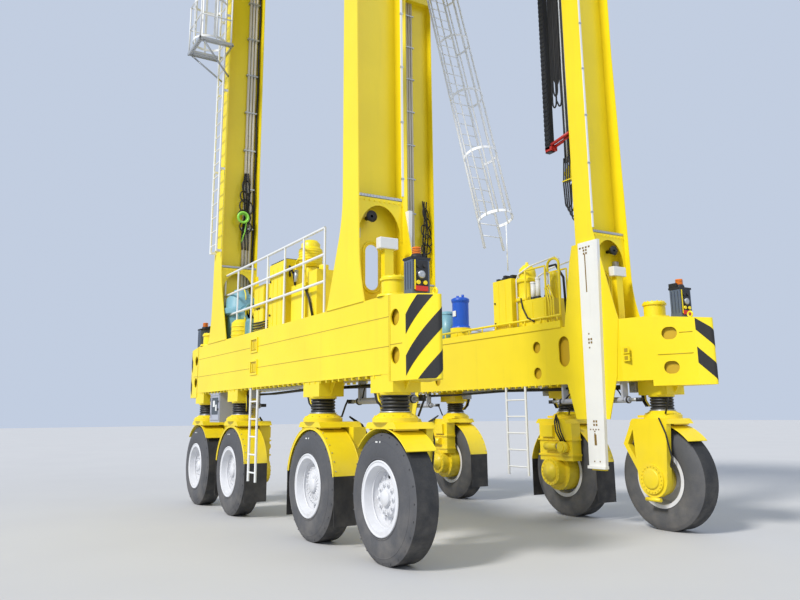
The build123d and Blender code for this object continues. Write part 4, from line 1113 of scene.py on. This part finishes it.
def beam_units():
    yellow, dark, blue, steel, white, black, deep = [], [], [], [], [], [], []
    # Left: light-blue pump beside the cooler, drum, cabinets and motor
    profile = [
        (0, 0.0), (0, 0.26), (0.5, 0.26), (0.54, 0.35), (0.64, 0.35), (0.67, 0.31), (0.86, 0.29),
        (0.98, 0.16), (1.04, 0.14), (1.06, 0.0)
    ]
    pump = [lathe(profile, (-2.6, -2.262, 3.24), (0, 0, 1), 40)]
    pump += [
        bolt(p, (0, 0, 1), 0.015, 0.02)
        for p in circle_of(16, 0.325, (-2.6, -2.262, 3.88), (0, 0, 1))
    ]
    pump.append(rod((-2.5, -2.28, 3.72), (-1.72, -2.28, 3.72), 0.17, 28))
    pump += [rod((x, -2.28, 3.72), (x + 0.03, -2.28, 3.72), 0.21, 28) for x in (-2.1, -1.75)]
    pump.append(block(-2.2, -1.55, -2.44, -2.06, 3.237, 3.58))
    pump += [
        block(-2.17 + 0.06 * i, -2.15 + 0.06 * i, -2.452, -2.44, 3.28, 3.54) for i in range(10)
    ]
    pump.append(rod((-2.3, -2.1, 3.24), (-2.3, -2.1, 4.0), 0.06, 16))
    yellow.append(
        tube(
            [
                (-2.6 + 0.3 * cos(pi * i / 12), -2.262, 4.05 + 0.28 * sin(pi * i / 12))
                for i in range(13)
            ], 0.012, 8
        )
    )
    yellow.append(
        lathe(
            [(0, 0.0), (0, 0.2), (0.02, 0.22), (0.3, 0.22), (0.36, 0.16), (0.38, 0.0)],
            (-2.02, -2.4, 3.237), (0, 0, 1), 32
        )
    )
    yellow += [ring((-2.02, -2.4, 3.3 + 0.08 * k), (0, 0, 1), 0.222, 0.01, 32) for k in range(3)]
    for k in range(3):
        yellow.append(
            tube(
                [
                    (-1.8, -2.44 + 0.05 * k, 3.3), (-1.72, -2.46 + 0.05 * k, 3.75 + 0.04 * k),
                    (-1.55, -2.4, 3.8 - 0.05 * k), (-1.45, -2.3, 3.6 - 0.05 * k), (-1.4, -2.25, 3.3)
                ], 0.02, 8
            )
        )
    yellow.append(block(-0.48, 0.3, -2.47, -1.98, 3.237, 4.4))
    for x in (-0.3, -0.1, 0.1):
        yellow.append(block(x, x + 0.012, -2.476, -2.47, 3.3, 4.3))
    dark += [block(-0.46 + 0.09 * i, -0.42 + 0.09 * i, -2.45, -2.0, 4.4, 4.43) for i in range(8)]
    dark += [rod((-0.4, -2.478, z), (-0.4, -2.492, z), 0.02, 12) for z in (3.5, 3.8, 4.1)]
    yellow.append(block(0.42, 1.0, -2.42, -2.0, 3.237, 3.9))
    yellow.append(bell(0.7, -2.2, 4.2))
    yellow.append(rod((0.7, -2.2, 3.9), (0.7, -2.2, 4.22), 0.13, 24))
    yellow += [ring((0.7, -2.2, 4.28 + 0.045 * k), (0, 0, 1), 0.2, 0.008, 32) for k in range(5)]
    yellow += [rod((x, -2.38, 3.9), (x, -2.38, 4.3), 0.018, 8) for x in (0.5, 0.9)]
    yellow.append(tube([(0.5, -2.38, 4.3), (0.7, -2.42, 4.33), (0.9, -2.38, 4.3)], 0.018, 8))
    yellow.append(block(1.06, 1.4, -2.4, -2.05, 3.237, 4.05))
    yellow.append(rod((1.23, -2.2, 4.05), (1.23, -2.2, 4.15), 0.08, 20))
    steel.append(rod((0.62, -2.42, 3.95), (0.62, -2.42, 4.15), 0.035, 16))
    black.append(
        tube(
            [(0.3, -2.4, 4.1), (0.42, -2.46, 4.25), (0.55, -2.44, 4.1), (0.6, -2.43, 3.9)], 0.02, 8
        )
    )
    black.append(
        tube([(1.0, -2.3, 3.7), (1.06, -2.46, 3.8), (1.2, -2.44, 3.6), (1.3, -2.42, 3.3)], 0.02, 8)
    )
    for k in range(4):
        black.append(
            tube(
                [
                    (-1.3, -2.46, 3.3 + 0.05 * k), (-0.9, -2.47, 3.28 + 0.05 * k),
                    (-0.5, -2.48, 3.3 + 0.04 * k)
                ], 0.014, 8
            )
        )
    # Switch box doors
    yellow += [
        block(-1.285, -1.06, -2.452, -2.44, 3.3, 4.08),
        block(-1.04, -0.815, -2.452, -2.44, 3.3, 4.08)
    ]
    dark += [
        rod((-1.05 + dx, -2.452, 3.7), (-1.05 + dx, -2.47, 3.7), 0.018, 12) for dx in (-0.05, 0.05)
    ]
    # Right: tall box, pointed motor, low cabinet with filters and pipes, looped rails
    power = [block(0.33, 0.9, 1.95, 2.55, 3.237, 4.34), block(1.22, 1.9, 1.92, 2.56, 3.237, 3.84)]
    profile = [
        (0, 0.2), (0.62, 0.2), (0.63, 0.24), (0.68, 0.24), (0.69, 0.18), (0.98, 0.18), (1.0, 0.21),
        (1.06, 0.21), (1.1, 0.16)
    ]
    profile += [(1.16, 0.17), (1.27, 0.15), (1.34, 0.08), (1.36, 0.03), (1.4, 0.03), (1.4, 0.0)]
    power.append(lathe(profile, (1.1, 2.2, 3.237), (0, 0, 1), 36))
    power += [
        rod((1.1, 2.2, 3.237), (1.1, 2.2, 3.3), 0.26, 28),
        block(0.28, 2.28, 1.91, 2.57, 3.237, 3.262)
    ]
    power += [block(x, x + 0.012, 1.944, 1.95, 3.3, 4.3) for x in (0.5, 0.7)]
    power += [block(1.26, 1.54, 1.912, 1.92, 3.3, 3.78), block(1.58, 1.86, 1.912, 1.92, 3.3, 3.78)]
    power += [
        bolt(p, (0, 0, 1), 0.012, 0.016) for p in circle_of(14, 0.22, (1.1, 2.2, 3.917), (0, 0, 1))
    ]
    yellow += [rod((x, y, 3.84), (x, y, 4.42), 0.018, 10) for x in (1.3, 1.86) for y in (1.97, 2.5)]
    yellow += [tube([(1.3, y, 4.42), (1.86, y, 4.42)], 0.018, 8) for y in (1.97, 2.5)]
    for x, y, z in ((1.42, 2.05, 4.16), (1.56, 2.05, 4.22), (1.72, 2.12, 4.3)):
        white.append(rod((x, y, 3.84), (x, y, z), 0.045, 20))
        white.append(lathe([(0, 0.05), (0.03, 0.05), (0.04, 0.0)], (x, y, z), (0, 0, 1), 20))
        dark.append(rod((x, y, 3.84), (x, y, 3.9), 0.055, 20))
    yellow.append(rod((1.66, 2.38, 3.84), (1.66, 2.38, 4.36), 0.09, 24))
    dark += [
        block(
            0.36 + 0.11 * i, 0.43 + 0.11 * i, 2.02 + 0.06 * (i % 2), 2.16 + 0.06 * (i % 2), 4.34,
            4.4 + 0.02 * (i % 3)
        ) for i in range(5)
    ]
    dark += [rod((0.39, 1.944, z), (0.39, 1.93, z), 0.018, 12) for z in (3.5, 3.9)]
    black.append(
        tube(
            [
                (1.72, 2.12, 4.33), (1.76, 2.14, 4.44), (1.9, 2.2, 4.46), (2.05, 2.24, 4.2),
                (2.08, 2.24, 3.5)
            ], 0.024, 8
        )
    )
    black.append(
        tube([(1.2, 1.93, 3.9), (1.3, 1.88, 3.7), (1.42, 1.885, 3.5), (1.6, 1.89, 3.42)], 0.016, 8)
    )
    for k in range(3):
        yellow.append(
            tube(
                [
                    (1.95 + 0.06 * k, 1.95, 3.26), (1.97 + 0.06 * k, 1.93, 3.7 + 0.05 * k),
                    (1.9 + 0.03 * k, 1.95, 3.95 + 0.05 * k), (1.8, 2.0, 4.0)
                ], 0.016, 8
            )
        )
    path = [(2.2, 1.98, 3.24), (2.22, 1.98, 4.0)]
    path += [(2.07 + 0.15 * cos(pi * i / 8), 1.98, 4.4 + 0.12 * sin(pi * i / 8)) for i in range(9)]
    yellow.append(tube([*path, (1.92, 1.98, 4.3)], 0.024, 10))
    for y in (2.02, 2.52):
        loop = [
            (0.98, y, 3.3), (0.98, y, 4.3), (1.06, y, 4.4), (1.4, y, 4.5), (2.1, y, 4.56),
            (2.18, y, 4.5), (2.18, y, 3.9)
        ]
        white.append(tube(loop, 0.017, 8))
    white.append(tube([(0.98, 2.02, 3.95), (0.98, 2.52, 3.95)], 0.015, 8))
    steel.append(
        tube([(-1.12, 2.2, 3.5), (-0.6, 2.15, 3.5), (-0.2, 2.1, 3.4), (0.35, 2.05, 3.4)], 0.025, 8)
    )
    steel.append(tube([(-1.12, 2.35, 3.45), (-0.4, 2.35, 3.45), (0.35, 2.35, 3.45)], 0.02, 8))
    # Blue tank: flanges, neck and fittings
    tank = (-1.3, 2.3)
    deep.append(lathe([(0, 0.2), (0.04, 0.2), (0.04, 0.18)], (*tank, 3.6), (0, 0, 1), 36))
    deep.append(
        lathe(
            [(0, 0.18), (0.04, 0.2), (0.09, 0.2), (0.12, 0.15), (0.12, 0.0)], (*tank, 4.15),
            (0, 0, 1), 36
        )
    )
    deep += [
        rod((tank[0] + 0.14 * i, tank[1], 4.26), (tank[0] + 0.14 * i, tank[1], 4.33), 0.03, 16)
        for i in (-0.7, 0.7)
    ]
    white.append(block(-1.33, -1.22, 2.11, 2.122, 3.85, 3.97))
    blue.append(rod((-1.75, 2.25, 3.24), (-1.75, 2.25, 3.95), 0.14, 24))
    blue.append(lathe([(0, 0.15), (0.06, 0.12), (0.08, 0.0)], (-1.75, 2.25, 3.95), (0, 0, 1), 24))
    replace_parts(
        piece("deck_pump", PALE_BLUE, "chassis", pump, 0.004), "deck_cooler"
    )
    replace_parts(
        piece("power_housing", YELLOW, "chassis", power, 0.006), "power_unit"
    )
    piece("unit_yellow_parts", YELLOW, "chassis", yellow, 0.006)
    piece("unit_dark_parts", DARK, "chassis", dark)
    piece("unit_blue_parts", PALE_BLUE, "chassis", blue)
    piece("unit_pipes", ZINC, "chassis", steel)
    piece("unit_white_parts", WHITE, "chassis", white)
    piece("unit_hoses", BLACK, "chassis", black)
    piece("tank_fittings", BLUE, "chassis", deep)


beam_units()


# Walkway railing's rounded ends, and base plates
def railing_trim():
    white, steel = [], []
    for x in (-2.9, 1.9):
        way = 1 if x > 0 else -1
        path = [(x, -2.5, 4.6)]
        for i in range(9):
            a = pi / 2 * i / 8
            path.append((x + way * 0.12 * sin(a), -2.5, 4.48 + 0.12 * cos(a)))
        path += [(x + way * 0.12, -2.5, 3.85), (x + way * 0.06, -2.5, 3.78), (x, -2.5, 3.76)]
        white.append(tube(path, 0.022, 10))
    for i in range(7):
        x = -2.9 + i * 0.8
        steel.append(block(x - 0.05, x + 0.05, -2.55, -2.45, 3.237, 3.249))
        steel += [
            bolt((x + dx, -2.5 + dy, 3.249), (0, 0, 1), 0.008, 0.01)
            for dx in (-0.035, 0.035) for dy in (-0.035, 0.035)
        ]
    piece("walk_rail_ends", WHITE, "chassis", white)
    piece("walk_rail_feet", ZINC, "chassis", steel)


railing_trim()


# Cable guide, hanging loops and hoses beside the right near leg
def cable_carrier():
    dark, hoses, steel, reds, yellow = [], [], [], [], []
    dark.append(block(2.12, 2.26, 1.9, 2.0, 6.5, 12.42))
    for i in range(62):
        z = 6.56 + 0.094 * i
        dark.append(block(2.1, 2.12, 1.91, 1.99, z, z + 0.06))
        dark.append(block(2.135, 2.245, 1.89, 1.9, z, z + 0.06))
    for k in range(4):
        x, low = 2.33 + 0.035 * k, 7.3 + 0.22 * (k % 3)
        loop = [
            (x, 1.95 - 0.01 * k, 12.4), (x + 0.01, 1.95, 10.0), (x - 0.01, 1.96, 8.4),
            (x, 1.95, low + 0.15)
        ]
        loop += [
            (
                x + 0.05 - 0.05 * cos(pi * i / 6), 1.95 + 0.01 * k,
                low + 0.15 - 0.12 * sin(pi * i / 6)
            ) for i in range(1, 7)
        ]
        loop += [(x + 0.11, 1.96, 8.2), (x + 0.12, 1.97, 10.0), (x + 0.1, 1.96, 12.4)]
        hoses.append(tube(loop, 0.015, 8))
    for k in range(5):
        x = 2.55 + 0.045 * k
        (steel if k in (1, 3) else hoses).append(
            tube(
                [
                    (x, 1.99, 12.4), (x + 0.008, 1.99, 10.0), (x - 0.006, 1.99, 8.0),
                    (x, 1.99, 6.9), (x + 0.01 * k, 1.98, 6.2)
                ], 0.02, 8
            )
        )
    for k in range(4):
        x = 2.52 + 0.05 * k
        low = 5.35 - 0.09 * k
        loop = [(x, 1.97, 6.3), (x - 0.02, 1.95, 5.8), (x, 1.95, low + 0.1)]
        loop += [
            (x + 0.08 - 0.08 * cos(pi * i / 6), 1.95, low + 0.1 - 0.1 * sin(pi * i / 6))
            for i in range(1, 7)
        ]
        loop += [(x + 0.16, 1.96, low + 0.4), (2.8, 2.0, 5.9)]
        hoses.append(tube(loop, 0.014, 8))
    hoses.append(
        tube([(2.7, 1.99, 6.2), (2.74, 2.0, 5.4), (2.8, 2.02, 4.9), (2.86, 2.04, 4.3)], 0.016, 8)
    )
    for i in range(12):
        z = 6.8 + 0.45 * i
        dark.append(block(2.53, 2.79, 2.01, 2.03, z, z + 0.03))
    reds.append(rod((2.16, 1.93, 6.62), (2.74, 1.93, 6.72), 0.03, 12))
    reds.append(rod((2.16, 1.99, 6.58), (2.74, 1.99, 6.68), 0.03, 12))
    reds.append(block(2.13, 2.3, 1.89, 2.03, 6.52, 6.6))
    outline = [(2.45, 6.05), (2.79, 6.35), (2.79, 5.85), (2.5, 5.85)]
    yellow.append(slab(outline, (0, 2.04, 0), (1, 0, 0), (0, 0, 1), 0.02))
    yellow.append(block(2.48, 2.79, 1.93, 2.04, 5.85, 5.87))
    piece("cable_guide", DARK, "chassis", dark)
    piece("guide_hoses", BLACK, "chassis", hoses)
    piece("guide_pipes", ZINC, "chassis", steel)
    piece("guide_clamp", RED, "chassis", reds)
    piece("guide_bracket", YELLOW, "chassis", yellow)


cable_carrier()


# Inclined ladder in the right side frame, with its cage on the side that one climbs
def inclined_ladder():
    half, rung_pitch, hoop_pitch, reach, hoop_w, hoop_t = 0.25, 0.29, 1.58, 0.36, 0.06, 0.01
    turns, straps = 28, (4, 7, 11, 14, 17, 21, 24)
    foot, head = Vector((0.02, 2.265, 5.12)), Vector((-2.4, 2.265, 13.3))
    way = (head - foot).normalized()
    across, out = Vector((0, 1, 0)), Vector((way.z, 0, -way.x))
    length = (head - foot).length
    shapes = [tube([foot + across * y, head + across * y], 0.028, 8) for y in (-half, half)]
    for i in range(int(length / rung_pitch)):
        spot = foot + way * (0.3 + rung_pitch * i)
        shapes.append(rod(spot - across * half, spot + across * half, 0.012, 8))
    # Hoops: flat bars from one side rail round to the other
    start = asin(half / reach)
    middle = out * (reach * cos(start))
    spots = []
    for i in range(turns + 1):
        turn = start + (2 * pi - 2 * start) * i / turns
        spots.append(middle + across * (reach * sin(turn)) - out * (reach * cos(turn)))
    hoops = [0.55 + hoop_pitch * i for i in range(5)] + [length - 0.12]
    for along in hoops:
        points, faces = [], []
        for spot in spots:
            low = foot + way * along + spot
            thick, wide = (spot - middle).normalized() * hoop_t, way * hoop_w
            points += [low, low + thick, low + thick + wide, low + wide]
        for row in range(0, 4 * turns, 4):
            for k in range(4):
                after = (k + 1) % 4
                faces.append((row + k, row + after, row + 4 + after, row + 4 + k))
        faces += [(3, 2, 1, 0), tuple(4 * turns + k for k in range(4))]
        shapes.append((points, faces, False))
    low, high = foot + way * hoops[0], foot + way * hoops[-1]
    shapes += [tube([low + spots[i], high + spots[i]], 0.019, 6) for i in straps]
    end = low + spots[3]
    shapes.append(rod(end, end - Vector((0, 0, 1)), 0.014, 8))
    ladder = piece("sloping_ladder", PALE_ZINC, "chassis", shapes)
    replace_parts(ladder, "inclined_ladder")


inclined_ladder()


# Top of the machine: house, cooler, deck, drums and cross beams
def top_trim():
    grey, dark, yellow, steel, blue, black, white = [], [], [], [], [], [], []
    # House: white panel, frames, doors, louvres and roof edge
    y = -2.75
    white.append(block(-1.5, 2.0, y - 0.012, y, 12.6, 13.4))
    for x in (-1.9, -1.52, 2.0, 2.32):
        grey.append(block(x, x + 0.02, y - 0.008, y, 12.35, 13.55))
    for z in (12.38, 13.5):
        grey.append(block(-1.94, 2.34, y - 0.01, y, z, z + 0.03))
    grey.append(block(-2.02, 2.42, -2.77, -1.94, 13.6, 13.63))
    for i in range(10):
        dark.append(block(2.4, 2.408, -2.6, -2.1, 12.5 + 0.05 * i, 12.525 + 0.05 * i))
        dark.append(block(-2.008, -2.0, -2.6, -2.1, 12.5 + 0.05 * i, 12.525 + 0.05 * i))
    for x in (-1.2, 0.0, 1.2):
        grey.append(block(x, x + 0.5, -2.6, -2.1, 13.63, 13.7))
        dark += [
            block(x + 0.05 * i + 0.04, x + 0.05 * i + 0.06, -2.58, -2.12, 13.7, 13.705)
            for i in range(9)
        ]
    # Cooler fins and fans
    for i in range(20):
        x = 2.43 + 0.031 * i
        grey.append(block(x, x + 0.01, -2.862, -2.85, 13.38, 13.69))
    for x in (2.58, 2.88):
        dark.append(ring((x, -2.42, 13.725), (0, 0, 1), 0.13, 0.012, 28))
        dark.append(lathe([(0, 0.12), (0.004, 0.0)], (x, -2.42, 13.722), (0, 0, 1), 24))
        grey.append(rod((x, -2.42, 13.72), (x, -2.42, 13.745), 0.035, 16))
    # Deck: grating lines, kick plates, hatches
    for i in range(34):
        x = -1.8 + 0.11 * i
        dark.append(block(x, x + 0.01, -1.9, 2.45, 13.4, 13.408))
    steel.append(block(3.12, 3.13, -1.88, 2.44, 13.4, 13.52))
    steel.append(block(-3.13, -3.12, -1.88, 2.44, 13.4, 13.52))
    steel.append(block(-3.1, 3.1, 2.44, 2.45, 13.4, 13.52))
    # Well kerbs
    for end in (NEAR, FAR):
        for x in (1.9, 2.7):
            yellow.append(block(*sorted((end * x - 0.02, end * x + 0.02)), -1.3, 1.3, 13.4, 13.5))
        for y0 in (-1.32, 1.28):
            yellow.append(block(*sorted((end * 1.88, end * 2.72)), y0, y0 + 0.04, 13.4, 13.5))
    # Drums: rope windings, flanges, motor fins
    for i in range(22):
        dark.append(ring((1.5, -0.46 - 0.028 * i, 14.7), (0, 1, 0), 0.302, 0.012, 48, 6))
    for yy in (-0.44, -1.06):
        blue.append(lathe([(0, 0.36), (0.012, 0.36)], (1.5, yy, 14.7), (0, -1, 0), 48))
        blue.append(ring((1.5, yy, 14.7), (0, 1, 0), 0.36, 0.01, 48))
    for i in range(16):
        turn = 2 * pi * i / 16
        c, d = cos(turn), sin(turn)
        blue.append(
            tube(
                [
                    (1.5 + 0.192 * c, -1.16, 14.7 + 0.192 * d),
                    (1.5 + 0.192 * c, -1.44, 14.7 + 0.192 * d)
                ], 0.01, 4
            )
        )
    blue.append(lathe([(0, 0.19), (0.05, 0.15), (0.05, 0.0)], (1.5, -1.48, 14.7), (0, -1, 0), 32))
    for i in range(14):
        dark.append(ring((1.5, 1.68 + 0.03 * i, 14.7), (0, 1, 0), 0.212, 0.012, 40, 6))
    # Stand feet and bolts
    for yy in (-0.4, -1.1, 1.6, 2.15):
        dark.append(block(1.2, 1.8, yy - 0.07, yy + 0.07, 13.4, 13.42))
        steel += [
            bolt((x, yy + d, 13.42), (0, 0, 1), 0.016, 0.02)
            for x in (1.26, 1.5, 1.74) for d in (-0.05, 0.05)
        ]
        dark.append(
            slab(
                [(0, 0), (0.22, 0), (0, 0.5)], (1.76, yy - 0.01, 13.42), (1, 0, 0), (0, 0, 1), -0.02
            )
        )
        dark.append(
            slab(
                [(0, 0), (-0.22, 0), (0, 0.5)], (1.24, yy - 0.01, 13.42), (1, 0, 0), (0, 0, 1), 0.02
            )
        )
    # Control boxes and pipes on the deck
    for x0, yy in ((-1.5, -1.2), (-0.6, -1.2), (-1.4, 0.9), (0.1, 0.8)):
        grey.append(block(x0, x0 + 0.55, yy, yy + 0.45, 13.4, 13.95))
        dark.append(block(x0 + 0.05, x0 + 0.5, yy - 0.008, yy, 13.5, 13.85))
    for k in range(4):
        black.append(
            tube(
                [
                    (-2.9, -1.5 + 0.06 * k, 13.43), (0.0, -1.5 + 0.06 * k, 13.43),
                    (1.1, -1.35 + 0.06 * k, 13.43), (1.3, -1.3 + 0.05 * k, 13.9),
                    (1.4, -1.3 + 0.03 * k, 14.5)
                ], 0.022, 8
            )
        )
    # Cross beams: corner holes, bolt rows, seams, brackets and rope guides
    for end in (NEAR, FAR):
        face = end * 3.204
        for side in (LEFT, RIGHT):
            # Each corner hole is a thin dark disc on the face: painted shade inside the hole
            dark.append(
                rod((face, side * 2.34, 13.13), (face + end * 0.003, side * 2.34, 13.13), 0.07, 28)
            )
            yellow.append(ring((face, side * 2.34, 13.13), (1, 0, 0), 0.085, 0.01, 28))
            yellow.append(
                block(
                    *sorted((face, face + end * 0.012)), *sorted((side * 1.86, side * 1.88)), 12.42,
                    13.35
                )
            )
            for i in range(8):
                yellow.append(
                    bolt((face, side * (1.95 + 0.08 * i), 12.5), (end, 0, 0), 0.016, 0.016)
                )
        yellow.append(block(*sorted((face, face + end * 0.02)), -2.644, 2.644, 12.42, 12.45))
        yellow.append(block(*sorted((face, face + end * 0.02)), -2.644, 2.644, 13.32, 13.35))
        for i in range(18):
            yellow.append(bolt((face, -1.7 + 0.2 * i, 13.28), (end, 0, 0), 0.014, 0.014))
        # Slatted gear on the proud box
        box_face = end * 3.324
        for i in range(9):
            dark.append(
                block(
                    *sorted((box_face, box_face + end * 0.006)), -1.7, -0.75, 12.74 + 0.04 * i,
                    12.755 + 0.04 * i
                )
            )
        # Rope sheaves on the inner faces
        for yy in (-1.0, 1.0):
            steel.append(ring((end * 2.6, yy, 12.75), (0, 1, 0), 0.17, 0.02, 36))
            steel.append(
                lathe([(-0.02, 0.16), (0.02, 0.16)], (end * 2.6, yy, 12.75), (0, 1, 0), 36)
            )
            dark.append(
                rod((end * 2.6, yy - 0.06, 12.75), (end * 2.6, yy + 0.06, 12.75), 0.035, 16)
            )
            yellow.append(
                block(*sorted((end * 2.6, end * 2.79)), yy - 0.05, yy - 0.03, 12.66, 12.86)
            )
            yellow.append(
                block(*sorted((end * 2.6, end * 2.79)), yy + 0.03, yy + 0.05, 12.66, 12.86)
            )
        # Diagonal braces between cross beams and top beams
        for side in (LEFT, RIGHT):
            yellow.append(
                rod((end * 2.79, side * 0.8, 12.85), (end * 1.9, side * 1.66, 12.85), 0.05, 16)
            )
    # Top beams: seams and cable trays
    for side in (LEFT, RIGHT):
        yellow.append(block(-2.79, 2.79, *sorted((side * 1.95, side * 1.962)), 12.44, 12.47))
        steel.append(block(-2.7, 2.7, *sorted((side * 1.6, side * 1.65)), 13.05, 13.15))
    # Landing under the leg ladder's cage, with its rails and brackets
    for i in range(12):
        x = -3.45 + 0.075 * i
        steel.append(block(x, x + 0.05, -3.38, -3.3 if -3.26 < x < -2.76 else -2.66, 9.62, 9.65))
    steel += [
        block(-3.47, -2.54, -3.39, -3.37, 9.6, 9.66), block(-3.47, -3.45, -3.39, -2.66, 9.6, 9.66),
        block(-2.56, -2.54, -3.39, -2.66, 9.6, 9.66)
    ]
    steel += [block(-3.47, -2.54, -2.68, -2.645, 9.6, 9.62)]
    for x, foot in ((-3.44, -3.18), (-2.57, -2.82)):
        steel.append(rod((x, -3.3, 9.6), (foot, -2.65, 9.0), 0.02, 8))
        white += [rod((x, y, 9.65), (x, y, 10.75), 0.018, 8) for y in (-3.37, -3.02, -2.7)]
        white += [tube([(x, -3.37, z), (x, -2.7, z)], 0.016, 8) for z in (10.2, 10.75)]
    white += [tube([(-3.44, -3.37, z), (-2.57, -3.37, z)], 0.016, 8) for z in (10.2, 10.75)]
    # Lamps under the deck and the house's aerials
    for x in (-2.0, 2.0):
        for side in (LEFT, RIGHT):
            white.append(
                block(x - 0.15, x + 0.15, *sorted((side * 1.5, side * 1.62)), 12.35, 12.42)
            )
    white += [rod((x, -2.3, 13.63), (x, -2.3, 14.3), 0.012, 8) for x in (-1.8, 2.2)]
    piece("top_grey_parts", GREY, "chassis", grey)
    piece("top_dark_parts", DARK, "chassis", dark)
    piece("top_yellow_parts", YELLOW, "chassis", yellow)
    piece("top_steel_parts", ZINC, "chassis", steel)
    piece("top_blue_parts", PALE_BLUE, "chassis", blue)
    piece("top_hoses", BLACK, "chassis", black)
    piece("top_white_parts", WHITE, "chassis", white)


top_trim()


# Floor and light
def floor_finish():
    material = bpy.data.materials.new("floor")
    material.use_nodes = True
    tree = material.node_tree
    coords = tree.nodes.new("ShaderNodeTexCoord")
    tone = blend(
        tree, spread(tree, noise(tree, coords, 0.4, 5), 0.35, 0.65, 0, 1), (0.5, 0.5, 0.5, 1),
        (0.485, 0.485, 0.488, 1)
    )
    tree.links.new(tone, tree.nodes["Principled BSDF"].inputs["Base Color"])
    tree.nodes["Principled BSDF"].inputs["Roughness"].default_value = 0.8
    return material


mesh = bpy.data.meshes.new("floor")
mesh.from_pydata(
    [(-150, -150, 0), (150, -150, 0), (150, 150, 0), (-150, 150, 0)], [], [(0, 1, 2, 3)]
)
floor = bpy.data.objects.new("floor", mesh)
scene.collection.objects.link(floor)
floor.data.materials.append(floor_finish())

world = bpy.data.worlds.new("studio")
scene.world = world
world.use_nodes = True
world.node_tree.nodes["Background"].inputs["Color"].default_value = (0.72, 0.82, 1.0, 1)
world.node_tree.nodes["Background"].inputs["Strength"].default_value = 0.75


def sun(name, azimuth, elevation, strength, angle, colour=(1, 1, 1)):
    lamp = bpy.data.lights.new(name, "SUN")
    lamp.energy = strength
    lamp.angle = radians(angle)
    lamp.color = colour
    made = bpy.data.objects.new(name, lamp)
    scene.collection.objects.link(made)
    a, e = radians(azimuth), radians(elevation)
    source = Vector((cos(a) * cos(e), sin(a) * cos(e), sin(e)))
    made.rotation_euler = source.to_track_quat("Z", "Y").to_euler()


sun("key", -78, 42, 3.2, 12, (1, 0.97, 0.92))
sun("fill", 20, 35, 0.5, 40)

# Camera
PLACE = Vector((12.2597, -7.3587 + CENTRE, 1.7542))
YAW, PITCH, ROLL, FOCAL = 2.602, 0.2119, -0.009, 758.36
forward = Vector((cos(YAW) * cos(PITCH), sin(YAW) * cos(PITCH), sin(PITCH)))
across = forward.cross(Vector((0, 0, 1))).normalized()
up = across.cross(forward)
right_way = across * cos(ROLL) + up * sin(ROLL)
up_way = up * cos(ROLL) - across * sin(ROLL)
lens = bpy.data.cameras.new("camera")
lens.sensor_width = 36
lens.lens = FOCAL / 800 * 36
lens.shift_y = -0.06
camera = bpy.data.objects.new("camera", lens)
scene.collection.objects.link(camera)
turn = Matrix((right_way, up_way, -forward)).transposed().to_4x4()
camera.matrix_world = Matrix.Translation(PLACE) @ turn
lens.clip_start, lens.clip_end = 0.1, 500
scene.camera = camera
scene.view_settings.view_transform = "Standard"

bpy.context.view_layer.update()
